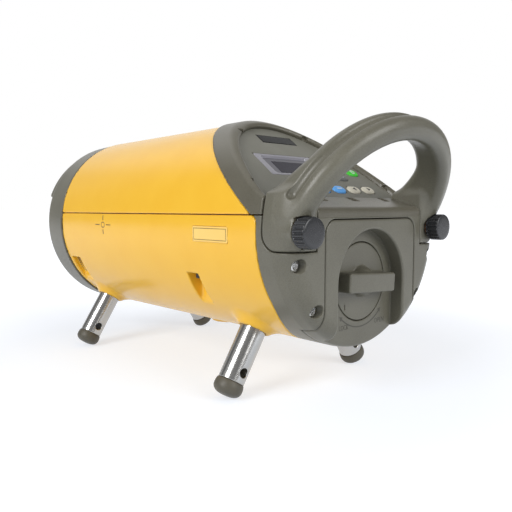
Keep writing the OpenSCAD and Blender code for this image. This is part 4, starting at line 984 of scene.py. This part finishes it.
def key_field(u, v, w):
    """A domed, round-ended key with its hidden flange."""
    edge = plate(u, v, 5.0, 3.2, 3.19)
    crown = w + 2.0 + 0.45 * np.clip(1 + edge / 3.2, 0, 1) ** 2
    cap = meet(meet(edge, crown, 0.7), -6.6 - w, 0.1)
    flange = meet(plate(u, v, 5.9, 4.1, 4.09), np.abs(w + 6.2) - 0.5, 0.1)
    return np.minimum(cap, flange)


# Across and up the panel, rubber, slot and printed sign of each key
WHITE, BLUE = (WHITE_KEY, "white_key"), (BLUE_KEY, "blue_key")
ROW = ((*WHITE, "up"), (*WHITE, "down"), (*BLUE, "dash"), (*BLUE, "dash"),
       (*WHITE, "left"), (*WHITE, "right"))
KEYS = {f"row_key_{k + 1}": (ROW_START + ROW_PITCH * k, ROW_UP, *kind) for k, kind in enumerate(ROW)}
KEYS["power_key"] = (38.0, 29.5, GREEN_KEY, "green_key", "power")
KEYS["arrow_key"] = (22.5, 24.0, GREY_KEY, "grey_key", "up")


def key_print(name, kind, ink, place):
    """The printed sign on a key, a small depth into its crown."""
    def strip(part, left, right):
        return printed_strip(name + part, left, right, SIGN_DEPTH, ink, place)

    if kind == "dash":
        return [strip("", [(-1.9, -0.4), (1.9, -0.4)], [(-1.9, 0.4), (1.9, 0.4)])]
    if kind == "power":
        turns = np.radians(np.linspace(125, 415, 30))
        inner, outer = [np.stack([r * np.cos(turns), r * np.sin(turns)], 1) for r in (1.25, 1.75)]
        return [strip("_ring", inner, outer),
                strip("_bar", [(-0.25, 0.3), (-0.25, 2.1)], [(0.25, 0.3), (0.25, 2.1)])]
    a, b = {"up": (0, 1), "down": (0, -1), "left": (-1, 0), "right": (1, 0)}[kind]
    foot = [(-1.0 * a - 1.5 * b, -1.0 * b + 1.5 * a), (-1.0 * a + 1.5 * b, -1.0 * b - 1.5 * a)]
    tip = [(1.5 * a - 0.08 * b, 1.5 * b + 0.08 * a), (1.5 * a + 0.08 * b, 1.5 * b - 0.08 * a)]
    return [strip("", [foot[0], tip[0]], [foot[1], tip[1]])]


def on_key(u, v, lift):
    """Turns places round a key's middle into the instrument's millimetres."""
    def turned(points):
        return on_panel(np.asarray(points, float) + (u, v, lift))
    return turned


for name, (u, v, rubber, slot, sign) in KEYS.items():
    moulded(name + "_cap", key_field, (-6.6, -4.8, -7.2), (6.6, 4.8, -1.3), 0.3,
            rubber, name, slot, name, place=on_key(u, v, 0))
    ink = DARK_INK if rubber is WHITE_KEY else PALE_INK
    for sign_piece in key_print(name + "_sign", sign, ink, on_key(u, v, SIGN_LIFT)):
        fit(sign_piece, name, slot)


# Legs and feet: one shape each, moulded at four places

def leg_field(a, b, out):
    off = np.hypot(a, b)
    shape = meet(meet(off - 7.25, out - 93.7, 0.5), 52.5 - out, 0.4)
    shape = cut(shape, within(off - 5.65, 82.74 - out))
    return carve(shape, np.hypot(a, out - BAR_HOLE_OUT) - BAR_HOLE_R, 0.5)


def foot_field(a, b, out):
    off = np.hypot(a, b)
    bulge = 2.6
    skirt = off - FOOT_R + 0.5 * (np.maximum(FOOT_WIDEST - out, 0) / 2.94) ** 2
    past = np.maximum(out - FOOT_WIDEST, 0) / 5.0
    dome = (((off / FOOT_R) ** bulge + past ** bulge) ** (1 / bulge) - 1) * 6.0
    shape = meet(np.where(out > FOOT_WIDEST, dome, skirt), 93.76 - out, 0.3)
    stem = within(off - 5.6, 83.2 - out, out - 95.0)
    return within(np.minimum(shape, stem), BAR_HOLE_R - np.hypot(a, out - BAR_HOLE_OUT))


for spot, (side, along) in LEG_SPOTS.items():
    moulded(spot + "_leg_tube", leg_field, (-7.8, -7.8, 52), (7.8, 7.8, 94.2), 0.35,
            STEEL, spot + "_leg_unit", "leg_steel", spot + "_leg", place=on_leg(side, along))
    moulded(spot + "_foot_cap", foot_field, (-8.7, -8.7, 82.6), (8.7, 8.7, 103.2), 0.4,
            RUBBER, spot + "_leg_unit", "foot_rubber", spot + "_foot", place=on_leg(side, along))


# Pieces grown by geometry nodes: socket screws and fluted knobs

def node_kit(name, *sockets):
    """A node tree with named inputs, and each input's identifier."""
    tree = bpy.data.node_groups.new(name, "GeometryNodeTree")
    tree.interface.new_socket("Geometry", in_out="INPUT", socket_type="NodeSocketGeometry")
    known = {}
    for label, kind in sockets:
        socket = tree.interface.new_socket(label, in_out="INPUT", socket_type="NodeSocket" + kind)
        known[label] = socket.identifier
    tree.interface.new_socket("Geometry", in_out="OUTPUT", socket_type="NodeSocketGeometry")
    return tree, known


def shaped(tree, source, points):
    """A number turned into another by a drawn curve."""
    node = wire(tree, "ShaderNodeFloatCurve", None, Value=source)
    curve = node.mapping.curves[0]
    curve.points[0].location, curve.points[1].location = points[0], points[-1]
    for spot in points[1:-1]:
        curve.points.new(*spot)
    for point in curve.points:
        point.handle_type = "AUTO_CLAMPED"
    node.mapping.update()
    return node.outputs[0]


def grow(name, kit, base, **values):
    """A plain mesh piece from a node tree and its input values."""
    tree, known = kit
    piece = link_piece(name, base)
    modifier = piece.modifiers.new(tree.name, "NODES")
    modifier.node_group = tree
    for label, value in values.items():
        modifier[known[label.replace("_", " ")]] = value
    mesh = finished_mesh(piece)
    # The tree's material comes after an empty slot
    finish = mesh.materials[-1]
    mesh.materials.clear()
    mesh.materials.append(finish)
    mesh.polygons.foreach_set("material_index", [0] * len(mesh.polygons))
    piece.modifiers.clear()
    piece.data = mesh
    return piece


def screw_kit():
    """Socket screws set on points, each along its own aim and turned at random."""
    tree, known = node_kit("socket_screws", ("Screw", "Object"), ("Steel", "Material"),
                           ("Seed", "Int"))
    start, end = tree.nodes.new("NodeGroupInput"), tree.nodes.new("NodeGroupOutput")
    aim = wire(tree, "GeometryNodeInputNamedAttribute", None, Name="aim")
    aim.data_type = "FLOAT_VECTOR"
    facing = wire(tree, "FunctionNodeAlignRotationToVector", None, Vector=aim.outputs[0])
    facing.axis = "Z"
    chance = wire(tree, "FunctionNodeRandomValue", None, Seed=start.outputs["Seed"])
    chance.data_type = "FLOAT"
    chance.inputs[2].default_value, chance.inputs[3].default_value = 0.0, radians(60)
    spin = wire(tree, "FunctionNodeAxisAngleToRotation", Axis=(0, 0, 1), Angle=chance.outputs[1])
    turned = wire(tree, "FunctionNodeRotateRotation", None, Rotation=facing.outputs[0],
                  Rotate_By=spin)
    turned.rotation_space = "LOCAL"
    screw = wire(tree, "GeometryNodeObjectInfo", "Geometry", Object=start.outputs["Screw"])
    spread_out = wire(tree, "GeometryNodeInstanceOnPoints", Points=start.outputs["Geometry"],
                      Instance=screw, Rotation=turned.outputs[0])
    real = wire(tree, "GeometryNodeRealizeInstances", Geometry=spread_out)
    done = wire(tree, "GeometryNodeSetMaterial", Geometry=real, Material=start.outputs["Steel"])
    tree.links.new(done, end.inputs[0])
    return tree, known


def screw_field(a, b, out):
    off = np.hypot(a, b)
    head = meet(meet(off - 2.9, out, 0.45), -SCREW_HEAD - out, 0.1)
    turns = (0, pi / 3, 2 * pi / 3)
    hexagon = np.maximum.reduce([np.abs(a * cos(t) + b * sin(t)) for t in turns])
    head = carve(head, within(hexagon - 1.3, -1.5 - out), 0.12)
    shank = meet(off - 2.0, -13.0 - out, 0.5)
    return np.minimum(head, within(shank, out + 2.9))


def screw_mesh():
    points, faces = skin(screw_field, (-3.3, -3.3, -13.4), (3.3, 3.3, 0.4), 0.17)
    return plain_mesh("socket_screw", points / 1000, faces)


def screw_points(name, places, aims):
    """A mesh of bare points, each with the way its screw faces."""
    mesh = plain_mesh(name, to_frame(places), [])
    aim = mesh.attributes.new("aim", "FLOAT_VECTOR", "POINT")
    for slot, value in zip(aim.data, aims):
        slot.vector = value
    return mesh


case_places = [(x, REAR_HEAD_Y, z) for x, z in REAR_SCREWS]
case_places += [(x, FRONT_HEAD_Y, z) for x, z in FRONT_SCREWS]
case_aims = [(0, -1, 0)] * 4 + [(0, 1, 0)] * 4
shell_places = [(side * RECESS_SCREW_X, y, RECESS_TOP - SCREW_HEAD)
                for side in (-1, 1) for y in RECESS_SCREW_YS]
one_screw = link_piece("socket_screw", screw_mesh())
screws = screw_kit()
for name, places, aims, finish, seed in (
        ("case_screws", case_places, case_aims, SCREW, 3),
        ("shell_screws", shell_places, [(0, 0, -1)] * 4, DARK_SCREW, 5)):
    screw_set = grow(name + "_set", screws, screw_points(name, places, aims),
                     Screw=one_screw, Steel=finish, Seed=seed)
    fit(screw_set, "body", "steel", name)
bpy.data.objects.remove(one_screw)


# A knob from its seat to the middle of its face: radius, height, and where the flutes are cut
KNOB_RADII = [(0, 0), (0.14, 0.80), (0.2, 0.93), (0.27, 1),
              (0.66, 1), (0.73, 0.965), (0.8, 0.87), (1, 0)]
KNOB_HEIGHTS = [(0, 0), (0.14, 0), (0.2, 0.03), (0.27, 0.12),
                (0.66, 0.84), (0.73, 0.93), (0.8, 0.97), (1, 1)]
FLUTE_CUT = [(0, 0), (0.2, 0), (0.3, 1), (0.62, 1), (0.75, 0), (1, 0)]


def knob_kit():
    """A knob turned from drawn curves, with flutes round its side."""
    tree, known = node_kit("fluted_knob", ("Radius", "Float"), ("Length", "Float"), ("Flutes", "Int"),
                           ("Flute Depth", "Float"), ("Plastic", "Material"))
    start, end = tree.nodes.new("NodeGroupInput"), tree.nodes.new("NodeGroupOutput")
    sheet = wire(tree, "GeometryNodeMeshGrid", Size_X=1.0, Size_Y=1.0, Vertices_X=217, Vertices_Y=61)
    position = tree.nodes.new("GeometryNodeInputPosition")
    spot = wire(tree, "ShaderNodeSeparateXYZ", None, Vector=position.outputs[0])
    turn = work(tree, "MULTIPLY", work(tree, "ADD", spot.outputs["X"], 0.5), 2 * pi)
    along = work(tree, "ADD", spot.outputs["Y"], 0.5)
    radius = shaped(tree, along, KNOB_RADII)
    height = shaped(tree, along, KNOB_HEIGHTS)
    fluted = shaped(tree, along, FLUTE_CUT)
    wave = work(tree, "COSINE", work(tree, "MULTIPLY", turn, start.outputs["Flutes"]))
    wave = work(tree, "POWER", work(tree, "ADD", work(tree, "MULTIPLY", wave, 0.5), 0.5), 1.6)
    dip = work(tree, "MULTIPLY", work(tree, "MULTIPLY", wave, fluted), start.outputs["Flute Depth"])
    reach = work(tree, "SUBTRACT", work(tree, "MULTIPLY", radius, start.outputs["Radius"]), dip)
    place = wire(tree, "ShaderNodeCombineXYZ",
                 X=work(tree, "MULTIPLY", reach, work(tree, "COSINE", turn)),
                 Y=work(tree, "MULTIPLY", reach, work(tree, "SINE", turn)),
                 Z=work(tree, "MULTIPLY", height, start.outputs["Length"]))
    rolled = wire(tree, "GeometryNodeSetPosition", Geometry=sheet, Position=place)
    closed = wire(tree, "GeometryNodeMergeByDistance", Geometry=rolled, Distance=2e-6)
    soft = wire(tree, "GeometryNodeSetShadeSmooth", Geometry=closed)
    real = wire(tree, "GeometryNodeRealizeInstances", Geometry=soft)
    done = wire(tree, "GeometryNodeSetMaterial", Geometry=real, Material=start.outputs["Plastic"])
    tree.links.new(done, end.inputs[0])
    return tree, known


def add_shank(piece, shank):
    """Joins a second mesh to a piece and turns every face outward."""
    both = bmesh.new()
    both.from_mesh(piece.data)
    both.from_mesh(shank.data)
    bmesh.ops.recalc_face_normals(both, faces=both.faces)
    both.to_mesh(piece.data)
    both.free()
    bpy.data.objects.remove(shank)


knobs = knob_kit()
turns = [(THREAD_R - THREAD_CUT * (k % 2), -0.1 - HALF_PITCH * k) for k in range(56)]
thread = [(0, -28.4), (1.9, -28.3)] + turns[::-1] + [(0, 0.5)]
for spot, side in (("left_thumb", -1), ("right_thumb", 1)):
    thumb = grow(spot + "_knob", knobs, bpy.data.meshes.new(spot), Radius=0.0072, Length=0.0078,
                 Flutes=20, Flute_Depth=0.0008, Plastic=BLACK)
    placing = facing_rear(side * THUMB[0], THUMB_SEAT_Y, THUMB[1])
    placed = to_frame(placing(np.array([v.co for v in thumb.data.vertices]) * 1000))
    thumb.data.vertices.foreach_set("co", placed.ravel())
    add_shank(thumb, lathed(spot + "_thread", thread, BLACK, placing, 40))
    fit(thumb, spot, "black_plastic", spot + "_screw")


# CAD nodes that keep their shape

KEPT = {
    SEAL: ("seam_gasket", "window_seal", "door_gasket"),
    SCREW: ("lock_cam", "line_pins", "grade_pins", "grade_plunger", "line_plunger"),
    GLASS: ("window_glass", "collimator_lens"),
    ALLOY: ("front_bulkhead", "gimbal_base", "line_frame"),
    DARK_ALLOY: ("laser_barrel", "grade_actuator", "line_actuator"),
    BRASS: ("mount_insert", "battery_contacts", "laser_diode"),
    PANEL: ("panel_plate",),
    INNER: ("display_module", "battery_tray", "battery_bay"),
    BOARD: ("keypad_board", "level_sensor", "main_board"),
    CELL: ("battery_cells",),
    WASHER: ("thumb_washers",),
}
for material, names in KEPT.items():
    for name in names:
        NODES[name].data.materials.clear()
        NODES[name].data.materials.append(material)
